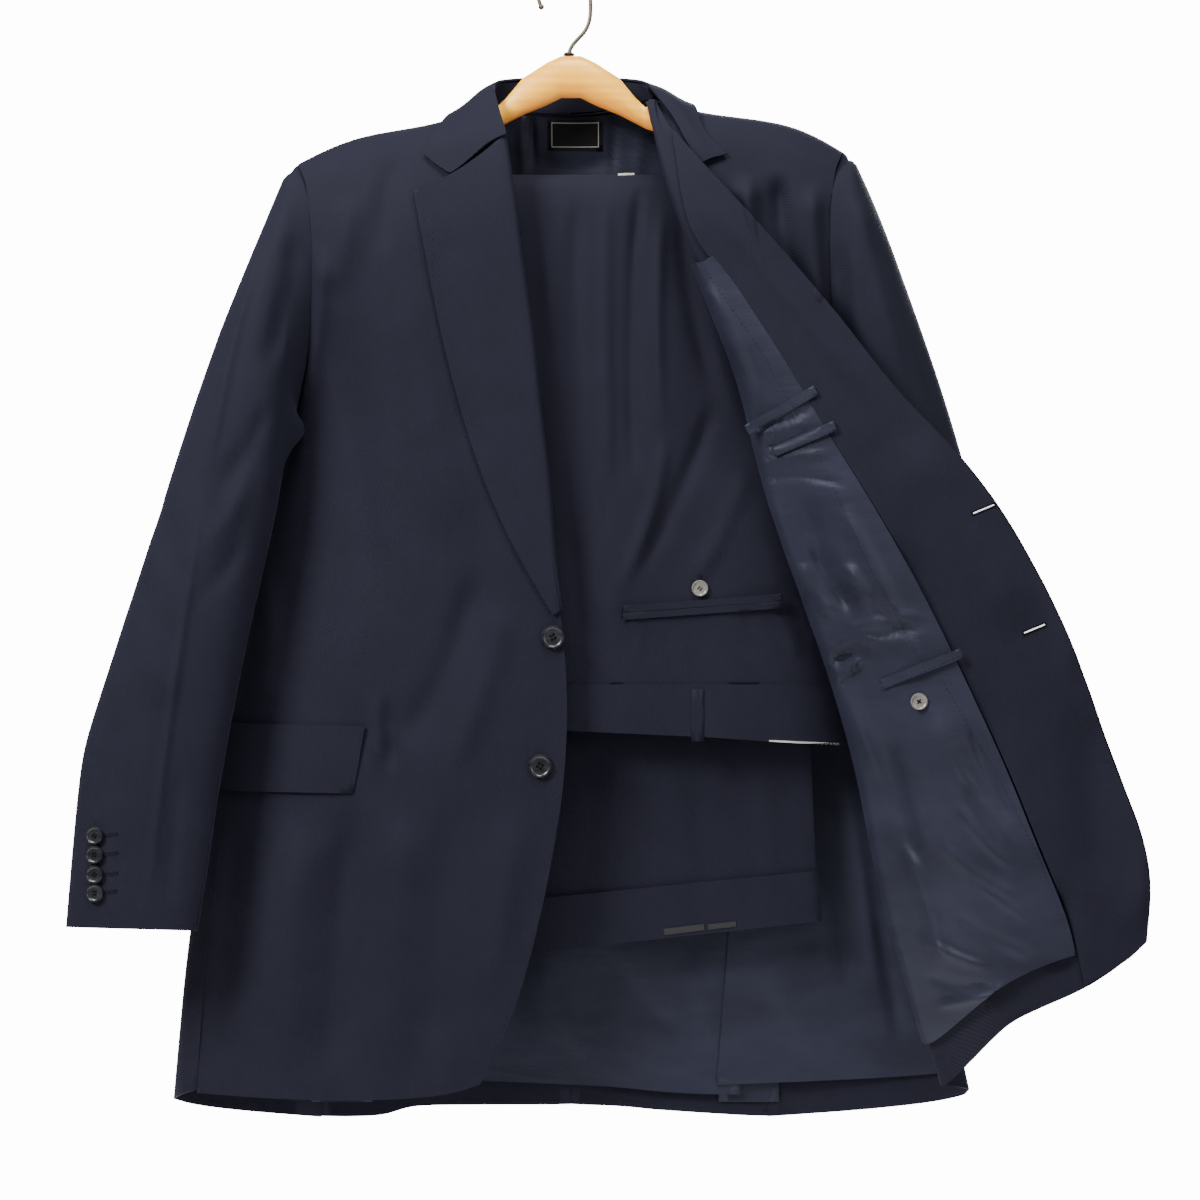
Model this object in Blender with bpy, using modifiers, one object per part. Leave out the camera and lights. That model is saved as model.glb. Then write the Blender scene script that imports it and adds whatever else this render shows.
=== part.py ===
"""A two-piece suit on a wooden hanger: single-breasted jacket with one front turned back,
and its trousers folded over the hanger's bar.

The frame has its origin in the seat of the hanger's hook, +Z up and the front towards -Y.
Lengths are in millimetres in the tables and helpers, and in metres in the meshes.
"""
import math

import bmesh
import bpy
from mathutils import Vector

MM = 0.001

# Cloth
WOOL = 2.0
LINING = 1.0
FACING = 1.6
SEAM = 0.3
LAYER = 0.5

# Jacket, worked out from a 445 mm shoulder and an 840 mm back
BODY_POWER = 0.8
FRONT_DEPTH = 45.0
BACK_DEPTH = 44.0
SHOULDER_ROUND = 90.0
ARM_POINTS = 8
UNDER_POINTS = 4
RING_POINTS = 2 * ARM_POINTS + UNDER_POINTS

# Hanger
HOOK_RADIUS = 22.0
HOOK_WIRE = 3.1
BAR_RADIUS = 6.0
BAR_Z = -188.0
BAR_HALF = 190.2

# Trousers

# The places in these tables are as seen by an eye this far in front of the hanger
SIGHT = 1850.0
SIGHT_MIDDLE = (24.0, -524.0)
HOOK_SHIFT = (5.4, 0.3)

NECK_HALF = 68.0
NECK_BACK_Z = -121.0
SHOULDER_GAP = 0.25
SHOULDER_SHARE = 0.7
SHOULDER_COLUMNS = 9
BACK_COLUMNS = [0.7 * i / 8 for i in range(9)] + [0.8, 0.9, 1.0]
ARM_SHARE = 0.30
SHOULDER_ROWS = (0.0008, 0.004, 0.0115, 0.024)
UNDERARM_DIP = 9.0
BELOW_ROWS = 9

# hem of the back, from the side seam to the middle: x from the hook, z
BACK_HEM = {
    -1: ((207, -952), (150, -950), (142, -944), (77, -942), (0, -942)),
    1: ((163, -952), (70, -946), (40, -943), (0, -942)),
}

# side seams of the back: z, x on the left, x on the right
BACK_SEAM = (
    (-960, -207, 163),
    (-800, -192, 160),
    (-620, -168, 160),
    (-500, -172, 168),
    (-362, -205, 202),
)

# neck, roll line and edge of the left front, downwards: x, z
FRONT_EDGE = (
    (-68, -112),
    (-61, -126),
    (-53.5, -140),
    (-48, -175),
    (-42, -225),
    (-31.5, -300),
    (-25.7, -358),
    (-17.4, -424),
    (-12.5, -490),
    (-7.5, -532),
    (-2.5, -590),
    (-1.7, -640),
    (-6.6, -690),
    (-15, -739),
    (-26, -789),
    (-38, -843),
    (-59, -897),
    (-75.5, -926),
)
ROLL_LINE = FRONT_EDGE[2:10]
FRONT_HEM = ((-310, -933), (-284, -935), (-208, -939), (-142, -938), (-100, -934), (-75.5, -926))
LAPEL_EDGE = (
    (-131, -184),
    (-121, -239),
    (-109.6, -295),
    (-91, -367),
    (-68, -435),
    (-42, -490),
    (-22, -524),
    (-15, -536),
)
LAPEL_TOP = ((-131, -184), (-100.4, -172), (-53.5, -140))
LAPEL_OUT = 3.2
ROLL_ROOM = 3.0
ROLL_RADIUS = 3.7
ROLL_INSIDE = 14.0

# the opened front, folded back on itself: x, z downwards
FOLD = (
    (61.5, -109),
    (65, -129),
    (78, -183),
    (101, -243),
    (124, -300),
    (144, -354),
    (157, -416),
    (173.5, -466),
    (190, -524),
    (214, -565),
    (228, -640),
    (237, -657),
    (248, -716),
    (255, -759),
    (267, -801),
    (277, -830),
    (290, -879),
    (299, -908),
    (305, -926),
)
EDGE = (
    (70, -109),
    (77.5, -125),
    (96, -149),
    (112, -165),
    (149, -204),
    (190, -250),
    (232, -300),
    (273, -354),
    (320, -399),
    (344, -428),
    (377, -478),
    (398, -524),
    (418, -565),
    (439, -623),
    (452, -656),
    (472, -716),
    (484, -750),
    (487, -772),
    (485.6, -788),
    (477, -808),
)
TURNED_HEM = (
    (305, -926),
    (328, -905),
    (357, -876),
    (379, -864),
    (410, -854),
    (435, -839),
    (461.5, -823),
    (477, -808),
)
FACING_SEAM = (
    (-215, 84),
    (-230, 97),
    (-245, 116),
    (-293, 149),
    (-349, 185),
    (-376, 201),
    (-428, 234),
    (-481, 264),
    (-520, 288),
    (-565, 308),
    (-592, 321),
    (-618, 334),
    (-656, 353),
    (-694, 371),
    (-748, 390),
    (-783, 408),
    (-821, 417),
    (-900, 440),
)

# depth of the turned-back front near its fold and far from it: z, near, far
TURNED_DEPTH = (
    (-100, -9, -9),
    (-110, -12, -13),
    (-121, -28, -29),
    (-130, -36, -38),
    (-140, -43, -46),
    (-165, -52, -55),
    (-200, -58, -61),
    (-250, -58, -64),
    (-300, -58, -69),
    (-350, -56, -73),
    (-400, -50, -76),
    (-500, -44, -79),
    (-600, -36, -80),
    (-700, -30, -80),
    (-800, -26, -78),
    (-880, -18, -68),
    (-930, -8, -40),
    (-960, -4, -30),
)
TURNED_FOLDS = (
    (320, -830, 362, -620, 30, 3),
    (352, -850, 410, -690, 30, -3),
)
TURN_RAMP = 70.0
TURNED_COLUMNS = [1.25, 1.5, 1.75, 2, 2.08, 2.2, 2.35, 2.5, 2.67, 2.84, 3]
RIGHT_SEAM = 0.008
SEAM_SHARE = 0.010
MIN_FOLD = 4.0
FOLD_COVER = 2.5
FACING_OUT = 3.1
LINING_OUT = 3.8
LINING_START = 0.165
LINING_END = 0.955

# collar stations from the back's middle: seam x, z and 1 behind, roll x, y, z, edge x, y and z,
# which is a height over the shoulder where it is above zero
COLLAR = (
    (0, -121, 1, 0, 30, -91, 0, 47, -137),
    (30, -119, 1, 31, 29, -91, 38, 46, -136),
    (56, -115.5, 1, 55, 19, -92.5, 76, 37, -130),
    (67.5, -113, 1, 64, 2, -96, 96, 12, 5),
)
COLLAR_TURN = {
    -1: (61, -121, 0, 62, -20, -107, 104, -14, 3.5),
    1: (61, -121, 0, 72, -18, -106, 104, -14, 3.5),
}
# the collar's front ends: roll x, z, edge x, z
COLLAR_LEFT_END = ((56, -127, 113, -139), (53.5, -135, 121.5, -155), (53, -138.6, 100, -170.6))
COLLAR_RIGHT_END = ((86, -128, 108, -134), (98, -150, 124, -150), (109, -161.5, 129, -154.5))
COLLAR_OUT = 3.4
ROLL_OUT = 4.6
STAND_FROM = -3.8
STAND_TO = 3.0
STAND_GAP = 1.8
STAND_TOP_GAP = 2.7

# sleeve rings down from the armhole: outer x, z, inner x, z, depth of middle, half depth
SLEEVE_LEFT = (
    (1, 238, -172, 233, -380, -3, 44),
    (2, 250, -202, 235, -390, -12, 41),
    (3, 266, -240, 238, -405, -24, 37),
    (4, 299, -319, 244, -448, -34, 35),
    (5, 338, -441, 256, -501, -36, 35),
    (6, 368, -534, 273, -574, -42, 31),
    (7, 400, -631, 290, -669, -47, 28),
    (8, 407, -658, 295, -698, -48, 26),
    (9, 414, -733, 300, -738, -50, 24),
    (10, 419, -795, 310, -798, -52, 22),
)
SLEEVE_RIGHT = (
    (1, 236, -160, 233, -372, -3, 44),
    (2, 250, -192, 235, -384, -6, 43),
    (3, 264, -226, 238, -400, -10, 41),
    (4, 294, -306, 243, -440, -18, 38),
    (5, 325, -405, 251, -500, -24, 35),
    (6, 346, -490, 264, -574, -27, 31),
    (7, 364, -600, 279, -669, -29, 28),
    (8, 368, -640, 285, -698, -30, 26),
    (9, 378, -722, 290, -738, -30, 24),
    (10, 396, -795, 304, -797, -30, 22),
)
ARM_OUT = 0.6
UNDER_OUT = 5.2
SLEEVE_SEAM = 0.05

# hanger: x, top, bottom, half depth, the arms' tops following the shoulders
HANGER = (
    (-216, 0, -190, 4),
    (-213, 0, -195, 8),
    (-193, 0, -197, 9),
    (-189, 0, -168, 9),
    (-168, 0, -165, 9),
    (-121, 0, -157, 9),
    (-94, 0, -147, 9),
    (-68, 0, -135, 9),
    (-62, -114.5, -133, 7),
    (-54, -107, -129, 7),
    (-40, -90, -122, 9),
    (-20, -77, -114, 9),
    (-8, -71.5, -108, 9),
    (8, -71.5, -108, 9),
    (20, -77, -114, 9),
    (40, -90, -122, 9),
    (54, -107, -129, 7),
    (62, -114.5, -133, 7),
    (68, 0, -135, 9),
    (94, 0, -147, 9),
    (121, 0, -157, 9),
    (168, 0, -165, 9),
    (189, 0, -168, 9),
    (193, 0, -197, 9),
    (213, 0, -195, 8),
    (216, 0, -190, 4),
)
ARM_START = 64.0
HANGER_ROOM = 2.6
HOOK_FOOT = (-1.7, -71.1)
HOOK_NECK = ((-1.7, -69), (0.8, -62), (12.5, -52.5), (16.6, -40), (16.1, -25.6))
HOOK_CENTRE = (-5.4, -20.75)
HOOK_FROM = -12.7
HOOK_TO = 209.0

# folded legs, waist to hem over the bar: share, z, left, right, near y, far y, half depth, tilt
LEG_ROWS = (
    (-1, -594.5, -182, 234, -18.6, -10.6, 3.7, 0),
    (-0.85, -524, -166, 226, -18.6, -10.4, 3.7, 0),
    (-0.62, -416, -140, 212, -18.1, -9.4, 3.5, 0),
    (-0.36, -294, -118, 196, -16.7, -9.6, 3, 0),
    (-0.12, -188, -103, 181, -15.6, -10.1, 2.5, 0),
    (0.12, -188, -103, 181, 15.6, 10.1, 2.5, 0),
    (0.4, -380, -82, 192, 15.2, 9.2, 2.5, 0),
    (0.7, -592, -60, 197, 17.4, 9.4, 2.3, 0.04),
    (0.94, -761, -43, 203, 20.1, 9.5, 2.1, 0.1),
    (1, -804, -40, 205, 20.7, 9.5, 2, 0.11),
)
BAR_SHARE = 0.12
LEG_RADIUS = {"near": 15.6, "far": 10.1}
LEG_END = 0.99
TROUSER_BEND = 27.0
FOLD_LIMIT = 4.0
TROUSER_FOLDS = (
    (68, -180, 50, -270, 12, 4.5),
    (50, -270, 50, -430, 13, 4.5),
    (40, -190, 28, -420, 15, -5),
    (78, -200, 74, -390, 15, -6),
    (74, -390, 36, -530, 17, -7),
    (120, -350, 92, -430, 15, 3.5),
    (92, -430, 46, -515, 14, 3.5),
    (0, -260, 6, -560, 20, 3),
    (172, -545, 198, -500, 9, 4),
    (150, -420, 168, -530, 22, -4),
)
REAR_FOLDS = (
    (60, -640, 90, -760, 30, 1.2),
    (140, -640, 150, -760, 26, -1),
)
TURN_UP_START = 0.94
TURN_UP_OUT = 2.0
TURN_UP_WALL = 1.5
WAIST_SPAN = (-183, 235)
WAIST_DEPTH = 14.4
WAIST_Y = -14.6
WAIST_SLOPE = 0.045
BAND_TOP = 595.1
BAND_HEIGHT = 36.0
INSIDE_ROOM = 3.0

# small pieces: places are x, z
FRONT_BUTTON = (19.5, 3.6)
FRONT_BUTTONS = ((-15, -554.4), (-25.7, -661.5))
CUFF_BUTTON = (14.6, 3.2)
CUFF_BUTTON_X = -394.5
CUFF_BUTTON_Z = (-719.6, -735.2, -751.6, -767)
SMALL_BUTTON = (13.6, 2.8)
BUTTON_OUT = 1.4
FLAP_TOP = ((-276, -625), (-171, -629))
FLAP_LOW = ((-288, -681), (-181, -684))
FLAP_TURN = -0.985
FLAP_OUT = 2.8
LABEL = (-19, 26, -122.5, -149)
LABEL_OUT = 8.0
LABEL_THICK = 0.8
LINING_BACK_OUT = 5.4
LINING_VENT_OUT = 2.6
LINING_BACK_LEFT = ((-66, -117), (-140, -180), (-188, -330), (-165, -600), (-190, -925))
LINING_BACK_RIGHT = ((66, -115), (140, -175), (186, -330), (152, -600), (140, -934))
LINING_BACK_HEM = ((-190, -925), (-71, -923), (37, -928), (85, -933), (140, -934))
LINING_SIDE_EDGE = ((150, -560), (140, -690), (131, -799), (125, -879), (121, -926))
LINING_SIDE_END = -912.0
LINING_SIDE_TURN = 1.02
LINING_SIDE_OUT = (9.8, 9.6, 6.4, 3.8, 3.8, 3.8, 3.8)
VENT_TOP = -690.0
VENT_END = -940.0
VENT_LAP = 40.0
VENT_IN = 2.7
INNER_POCKETS = (
    ("pocket_jet_chest", (146, -382.6), (203, -349.4)),
    ("pocket_jet_pen", (168, -401), (219, -379)),
    ("pocket_jet_lower", (257, -594), (324, -568)),
)
POCKET_JET = 8.0
JET_OUT = 6.4
JET_THICK = 1.2
INNER_BUTTON = (289, -608)
INNER_BUTTON_OUT = 3.5
BELT_LOOP = ((105, -597.5), (105, -641))
BELT_LOOP_WIDTH = 9.5
LOOP_OUT = 2.1
BACK_POCKET = (
    ("back_pocket_upper", (42, -531.5), (176, -521.5)),
    ("back_pocket_lower", (43, -537.5), (175.5, -527.5)),
)
SEAT_JET = 5.2
SEAT_OUT = 2.0
SEAT_BUTTON = (107, -514)
SEAT_BUTTON_OUT = 2.3

# half width of the jacket, measured left and right of the hook: z, left, right
BODY_HALF = (
    (-970, 333, 334),
    (-932, 329, 330),
    (-798, 317, 300),
    (-700, 300, 278),
    (-600, 281, 258),
    (-500, 261, 241),
    (-430, 244, 232),
    (-385, 227, 224),
    (-274, 262, 258),
    (-163, 300, 296),
    (-60, 330, 326),
)

# how far the sides hang behind the middle: z, depth
SIDE_BACKWARDS = (
    (-970, 22),
    (-600, 20),
    (-385, 12),
    (-200, -6),
    (-60, -12),
)

# top line of the shoulders, from the middle of the neck outwards: x, z
SHOULDER_LEFT = (
    (0, -86),
    (40, -97),
    (68, -112),
    (94, -124),
    (121, -131),
    (168, -139),
    (191, -146),
    (226, -163),
    (260, -188),
)
SHOULDER_RIGHT = (
    (0, -86),
    (40, -96),
    (68, -109),
    (94, -117),
    (121, -122),
    (161, -127),
    (190, -134),
    (222, -151),
    (256, -176),
)

# armhole from the shoulder's tip to the underarm: step, x from the hook, z from the tip
ARMHOLE = (
    (0, 226, 0),
    (1, 219, -18),
    (2, 216, -46),
    (3, 215, -80),
    (4, 215, -113),
    (5, 216, -142),
    (6, 218, -167),
    (7, 221, -187),
    (8, 225, -200),
)

# soft folds of the jacket's front: x and z of both ends, half width, depth
FRONT_FOLDS = (
    (-135, -200, -160, -560, 26, -4),
    (-95, -560, -108, -900, 34, -5),
    (-214, -560, -250, -900, 30, -5),
    (-170, -660, -165, -900, 22, 5),
    (-152, -612, -146, -665, 9, 4),
    (150, -170, 182, -330, 14, 7),
    (180, -190, 168, -300, 10, -5),
)

# soft folds of the jacket's back, seen from behind
BACK_FOLDS = (
    (-90, -190, -130, -600, 30, 5),
    (95, -190, 120, -640, 30, 6),
    (-15, -260, -10, -420, 40, -4),
    (-180, -260, -190, -420, 26, 4),
    (176, -260, 186, -430, 26, 4),
    (40, -640, 60, -930, 34, 5),
    (-70, -660, -92, -930, 30, 5),
)


def clamp(value, low=0.0, high=1.0):
    return max(low, min(high, value))


def smooth(value):
    value = clamp(value)
    return value * value * (3 - 2 * value)


def mix(a, b, t):
    return tuple(p + (q - p) * t for p, q in zip(a, b))


def read(table, key):
    """The columns of a table at a key between its rows, as a smooth curve through the rows."""
    rows = sorted(table)
    key = clamp(key, rows[0][0], rows[-1][0])
    at = max(i for i in range(len(rows) - 1) if rows[i][0] <= key)
    before, low, high, after = (rows[clamp(i, 0, len(rows) - 1)] for i in (at - 1, at, at + 1, at + 2))
    span = high[0] - low[0]
    t = (key - low[0]) / span
    values = []
    for column in range(1, len(low)):
        slope_low = span * (high[column] - before[column]) / (high[0] - before[0])
        slope_high = span * (after[column] - low[column]) / (after[0] - low[0])
        values.append(
            low[column] * (2 * t ** 3 - 3 * t ** 2 + 1)
            + slope_low * (t ** 3 - 2 * t ** 2 + t)
            + high[column] * (3 * t ** 2 - 2 * t ** 3)
            + slope_high * (t ** 3 - t ** 2)
        )
    return values


def curve(*points):
    """A smooth curve through points, read by the share of its length from 0 to 1."""
    steps = [0.0]
    for a, b in zip(points, points[1:]):
        steps.append(steps[-1] + math.dist(a, b))
    rows = tuple((step / steps[-1], *point) for step, point in zip(steps, points))
    return lambda t: tuple(read(rows, t))


def folds(table, x, z):
    """Depth of the soft folds at a place, each fading towards its two ends."""
    depth = 0.0
    for x0, z0, x1, z1, width, height in table:
        run = math.hypot(x1 - x0, z1 - z0)
        along = ((x - x0) * (x1 - x0) + (z - z0) * (z1 - z0)) / run ** 2
        across = ((x - x0) * (z1 - z0) - (z - z0) * (x1 - x0)) / run
        fade = smooth(along * 3 + 0.5) * smooth((1 - along) * 3 + 0.5)
        depth += height * fade * math.exp(-(across / width) ** 2)
    return depth


# The form of the jacket's body

def half_width(side, z):
    left, right = read(BODY_HALF, z)
    return left if side < 0 else right


def shoulder(x):
    return read(SHOULDER_LEFT if x < 0 else SHOULDER_RIGHT, abs(x))[0]


def closing(x, z):
    """1 on the body, falling to 0 in a round where front and back meet at the shoulder."""
    below = clamp((shoulder(x) - z) / SHOULDER_ROUND)
    return math.sqrt(1 - (1 - below) ** 2)


def body(turn, z, out=0.0):
    """A point of the jacket: turn is 0 at the front, 1 at the side and 2 at the back's middle."""
    side = -1 if turn < 0 else 1
    angle = abs(turn) * math.pi / 2
    wide = half_width(side, z)
    across = max(math.sin(angle), 0.0) ** BODY_POWER
    x = side * wide * across
    ahead = math.cos(angle)
    full = abs(ahead) ** BODY_POWER * closing(x, z)
    middle = read(SIDE_BACKWARDS, z)[0] * across ** 2
    middle -= SHOULDER_GAP * clamp(ahead * 4, -1, 1)
    if ahead > 0:
        y = middle - FRONT_DEPTH * full + folds(FRONT_FOLDS, x, z) * full
    else:
        y = middle + BACK_DEPTH * full + folds(BACK_FOLDS, x, z) * full
    point = Vector((x, y, z))
    if out:
        point += body_normal(turn, z) * out
    return point


def body_normal(turn, z):
    step = 0.01
    across = body(turn + step, z) - body(turn - step, z)
    down = body(turn, z - 1) - body(turn, z + 1)
    normal = down.cross(across).normalized()
    return normal


def turn_at(x, z, back=False, side=None):
    """The body's turn at a place across it."""
    side = side or (-1 if x < 0 else 1)
    share = clamp(abs(x) / half_width(side, z), 0, 1) ** (1 / BODY_POWER)
    turn = math.asin(share) * 2 / math.pi
    return side * (2 - turn if back else turn)


def front(x, z, out=0.0):
    return body(turn_at(x, z), z, out)


def back(x, z, out=0.0):
    return body(turn_at(x, z, True), z, out)


def coons(left, right, top, bottom, u, v):
    """A place between four edges: left and right run down, top and bottom run across."""
    sides = mix(left(v), right(v), u)
    ends = mix(top(u), bottom(u), v)
    corners = mix(mix(left(0), right(0), u), mix(left(1), right(1), u), v)
    return tuple(s + e - c for s, e, c in zip(sides, ends, corners))


def seen(point):
    """A place in the tables, taken along the eye's line of sight to its depth."""
    x, y, z = point
    nearer = (SIGHT + y) / SIGHT
    middle_x, middle_z = SIGHT_MIDDLE
    return Vector((
        middle_x + (x - middle_x) * nearer + HOOK_SHIFT[0],
        y,
        middle_z + (z - middle_z) * nearer + HOOK_SHIFT[1],
    ))


def patch(left, right, top, bottom, across, down, inset=SEAM, top_inset=None):
    """A grid between four sewn edges, drawn in from each by the seam's millimetres."""
    wide = math.dist(formed_place(left(0.5)), formed_place(right(0.5)))
    high = math.dist(formed_place(top(0.5)), formed_place(bottom(0.5)))
    grid = []
    first = inset if top_inset is None else top_inset
    for j in down:
        v = clamp(j, first / high, 1 - inset / high)
        columns = [clamp(i, inset / wide, 1 - inset / wide) for i in across]
        grid.append([coons(left, right, top, bottom, u, v) for u in columns])
    return grid


def evenly(count):
    return [i / count for i in range(count + 1)]


# Objects

def material(name, colour, roughness, metallic=0.0):
    made = bpy.data.materials.new(name)
    made.use_nodes = True
    shader = made.node_tree.nodes["Principled BSDF"]
    shader.inputs["Base Color"].default_value = (*colour, 1)
    shader.inputs["Roughness"].default_value = roughness
    shader.inputs["Metallic"].default_value = metallic
    return made


def keep(obj, look):
    obj.data.materials.append(look)
    for collection in obj.users_collection:
        collection.objects.unlink(obj)
    bpy.data.collections["suit"].objects.link(obj)
    return obj


def mesh_object(name, built, look):
    mesh = bpy.data.meshes.new(name)
    bmesh.ops.recalc_face_normals(built, faces=built.faces)
    built.to_mesh(mesh)
    built.free()
    mesh.shade_smooth()
    obj = bpy.data.objects.new(name, mesh)
    bpy.context.scene.collection.objects.link(obj)
    return keep(obj, look)


def cloth(name, grid, thickness, look, around=False):
    """A wall of cloth: an open grid of points, thickened evenly to both sides."""
    built = bmesh.new()
    rows = [[built.verts.new(seen(point) * MM) for point in row] for row in grid]
    for upper, lower in zip(rows, rows[1:]):
        count = len(upper)
        for i in range(count if around else count - 1):
            k = (i + 1) % count
            built.faces.new((upper[i], upper[k], lower[k], lower[i]))
    obj = mesh_object(name, built, look)
    wall = obj.modifiers.new("wall", "SOLIDIFY")
    wall.thickness = thickness * MM
    wall.offset = 0
    wall.use_even_offset = True
    return obj


def loft(name, rings, look):
    """A closed solid through rings of points, with a flat face on each end."""
    built = bmesh.new()
    rows = [[built.verts.new(seen(point) * MM) for point in ring] for ring in rings]
    for upper, lower in zip(rows, rows[1:]):
        count = len(upper)
        for i in range(count):
            k = (i + 1) % count
            built.faces.new((upper[i], upper[k], lower[k], lower[i]))
    built.faces.new(rows[0])
    built.faces.new(rows[-1])
    return mesh_object(name, built, look)


def wire(name, points, radius, look, sides=2):
    line = bpy.data.curves.new(name, "CURVE")
    line.dimensions = "3D"
    line.bevel_depth = radius * MM
    line.bevel_resolution = sides
    line.use_fill_caps = True
    spline = line.splines.new("POLY")
    spline.points.add(len(points) - 1)
    for target, point in zip(spline.points, points):
        target.co = (*(seen(point) * MM), 1)
    obj = bpy.data.objects.new(name, line)
    bpy.context.scene.collection.objects.link(obj)
    return keep(obj, look)


# Jacket seams, as turn and height

def armhole(side, step, behind=False):
    """A point of the armhole, from the shoulder's tip down to the side panel."""
    tip = shoulder(side * ARMHOLE[0][1])
    x, drop = read(ARMHOLE, step)
    z = tip + drop
    return turn_at(side * x, z, behind), z


def front_seam(side, share):
    """Seam of forepart and side panel, down from the armhole."""
    turn, z = armhole(side, ARM_POINTS)
    low = (-0.76, -930) if side < 0 else (0.985, -930)
    return turn + (low[0] - turn) * share ** 0.8, z + (low[1] - z) * share


def back_seam(side, share):
    """Seam of back and side panel, which opens into the side vent."""
    top = armhole(side, ARM_POINTS, True)[1]
    z = top + (-952 - top) * share
    left, right = read(BACK_SEAM, z)
    blend = smooth(share * 8)
    x = left if side < 0 else right
    start = side * ARMHOLE[-1][1]
    return turn_at(start + (x - start) * blend, z, True), z


def body_rows():
    """Row heights of fore and back panels: the armhole's steps, then the seam's."""
    arm = [ARM_SHARE * i / ARM_POINTS for i in range(1, ARM_POINTS)]
    below = [ARM_SHARE + (1 - ARM_SHARE) * i / BELOW_ROWS for i in range(BELOW_ROWS + 1)]
    return [0, *SHOULDER_ROWS, *arm, *below]


def underarm(side, share):
    """Top of the side panel, under the arm from the front seam to the back one."""
    turn, z = mix(armhole(side, ARM_POINTS), armhole(side, ARM_POINTS, True), share)
    return turn, z - UNDERARM_DIP * math.sin(math.pi * share)


def outer_edge(side, behind):
    seam = back_seam if behind else front_seam

    def edge(t):
        if t <= ARM_SHARE:
            return armhole(side, t / ARM_SHARE * ARM_POINTS, behind)
        return seam(side, (t - ARM_SHARE) / (1 - ARM_SHARE))
    return edge


def neck_z(side, x):
    """Height of the neck seam behind."""
    return NECK_BACK_Z + (shoulder(side * NECK_HALF) - NECK_BACK_Z) * (x / NECK_HALF) ** 2


def shoulder_edge(side, behind, to_middle=False):
    """Top edge of a panel: the shoulder seam inwards, and on the back the neck to its middle."""
    tip, neck = ARMHOLE[0][1], NECK_HALF

    def edge(t):
        if not to_middle:
            x = tip + (neck - tip) * t
            z = shoulder(side * x)
        elif t <= SHOULDER_SHARE:
            x = tip + (neck - tip) * t / SHOULDER_SHARE
            z = shoulder(side * x)
        else:
            x = neck * (1 - (t - SHOULDER_SHARE) / (1 - SHOULDER_SHARE))
            z = neck_z(side, x)
        return turn_at(side * x, z, behind, side), z
    return edge


def on_body(line, side, behind=False):
    """A line of places across the body as a line of turns and heights."""
    return lambda t: (turn_at(*line(t), behind, side), line(t)[1])


def formed_place(place):
    """A point for a measure: a place on the body, or the place itself where it is one."""
    return body(*place) if abs(place[0]) <= 2.001 else place


def formed(grid, out=0.0):
    return [[body(turn, z, out) for turn, z in row] for row in grid]


def back_panel(side, look):
    hem = on_body(curve(*[(side * x, z) for x, z in BACK_HEM[side]]), side, True)
    middle = lambda t: (side * 2, NECK_BACK_Z + (BACK_HEM[side][-1][1] - NECK_BACK_Z) * t)
    grid = patch(outer_edge(side, True), middle, shoulder_edge(side, True, True), hem,
                 BACK_COLUMNS, body_rows(), SEAM, 0)
    return cloth("back_left" if side < 0 else "back_right", formed(grid), WOOL, look)


def side_panel(side, look):
    low_front, low_back = front_seam(side, 1), back_seam(side, 1)
    grid = patch(lambda t: front_seam(side, t), lambda t: back_seam(side, t),
                 lambda t: underarm(side, t), lambda t: mix(low_front, low_back, t),
                 evenly(6), evenly(BELOW_ROWS))
    return cloth("side_left" if side < 0 else "side_right", formed(grid), WOOL, look)


# The jacket's fronts

def left_edge(t, room=0.0):
    """Neck, roll line and front edge of the buttoned-side front, from the neck point down."""
    x, z = FRONT_CURVE(t)
    return x - room * smooth((-113 - z) / 12) * (1 - smooth((-505 - z) / 30)), z


def forepart_left(look):
    right = on_body(lambda t: left_edge(t, ROLL_ROOM), -1)
    hem = on_body(curve(*FRONT_HEM), -1)
    grid = patch(outer_edge(-1, False), right, shoulder_edge(-1, False), hem,
                 evenly(SHOULDER_COLUMNS), body_rows(), SEAM, 0)
    return cloth("forepart_left", formed(grid), WOOL, look)


def lapel_left(look):
    """The facing of the lapel: over the forepart, round the roll line and a little inside."""
    outer, gorge = curve(*LAPEL_EDGE), curve(*LAPEL_TOP)
    roll = lambda t: curve(*ROLL_LINE)(t)
    foot = lambda t: mix(LAPEL_EDGE[-1], ROLL_LINE[-1], t)
    rows = patch(outer, roll, gorge, foot, evenly(5), evenly(12), 0.3)
    grid = []
    for row in rows:
        points = []
        for i, (x, z) in enumerate(row[:-1]):
            lift = LAPEL_OUT + (ROLL_RADIUS - LAPEL_OUT) * (i / 5) ** 2
            points.append(front(x, z, lift))
        x, z = row[-1]
        centre = front(x - ROLL_RADIUS, z)
        ahead = body_normal(turn_at(x - ROLL_RADIUS, z), z)
        aside = Vector((1, 0, 0))
        for step in range(5):
            angle = math.pi * step / 4
            points.append(centre + (ahead * math.cos(angle) + aside * math.sin(angle)) * ROLL_RADIUS)
        points.append(front(x - ROLL_RADIUS - ROLL_INSIDE, z, -ROLL_RADIUS))
        grid.append(points)
    return cloth("lapel_left", grid, FACING, look)


def fold_x(z):
    return read(FOLD_BY_HEIGHT, z)[0] + FOLD_COVER


def seam_x(z):
    return read(FACING_SEAM, z)[0]


def turned_depth(x, z):
    """Depth of the turned-back front: near the body at its fold and over the sleeve beyond."""
    near, far = read(TURNED_DEPTH, z)
    share = smooth((x - fold_x(z)) / TURN_RAMP)
    return near + (far - near) * share + folds(TURNED_FOLDS, x, z) * share


def fold_radius(z):
    """Half the depth between the body and the turned-back part where the front folds."""
    near = read(TURNED_DEPTH, z)[0]
    x = fold_x(z)
    return max(MIN_FOLD, (front(x + MIN_FOLD, z).y - near) / 2)


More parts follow.
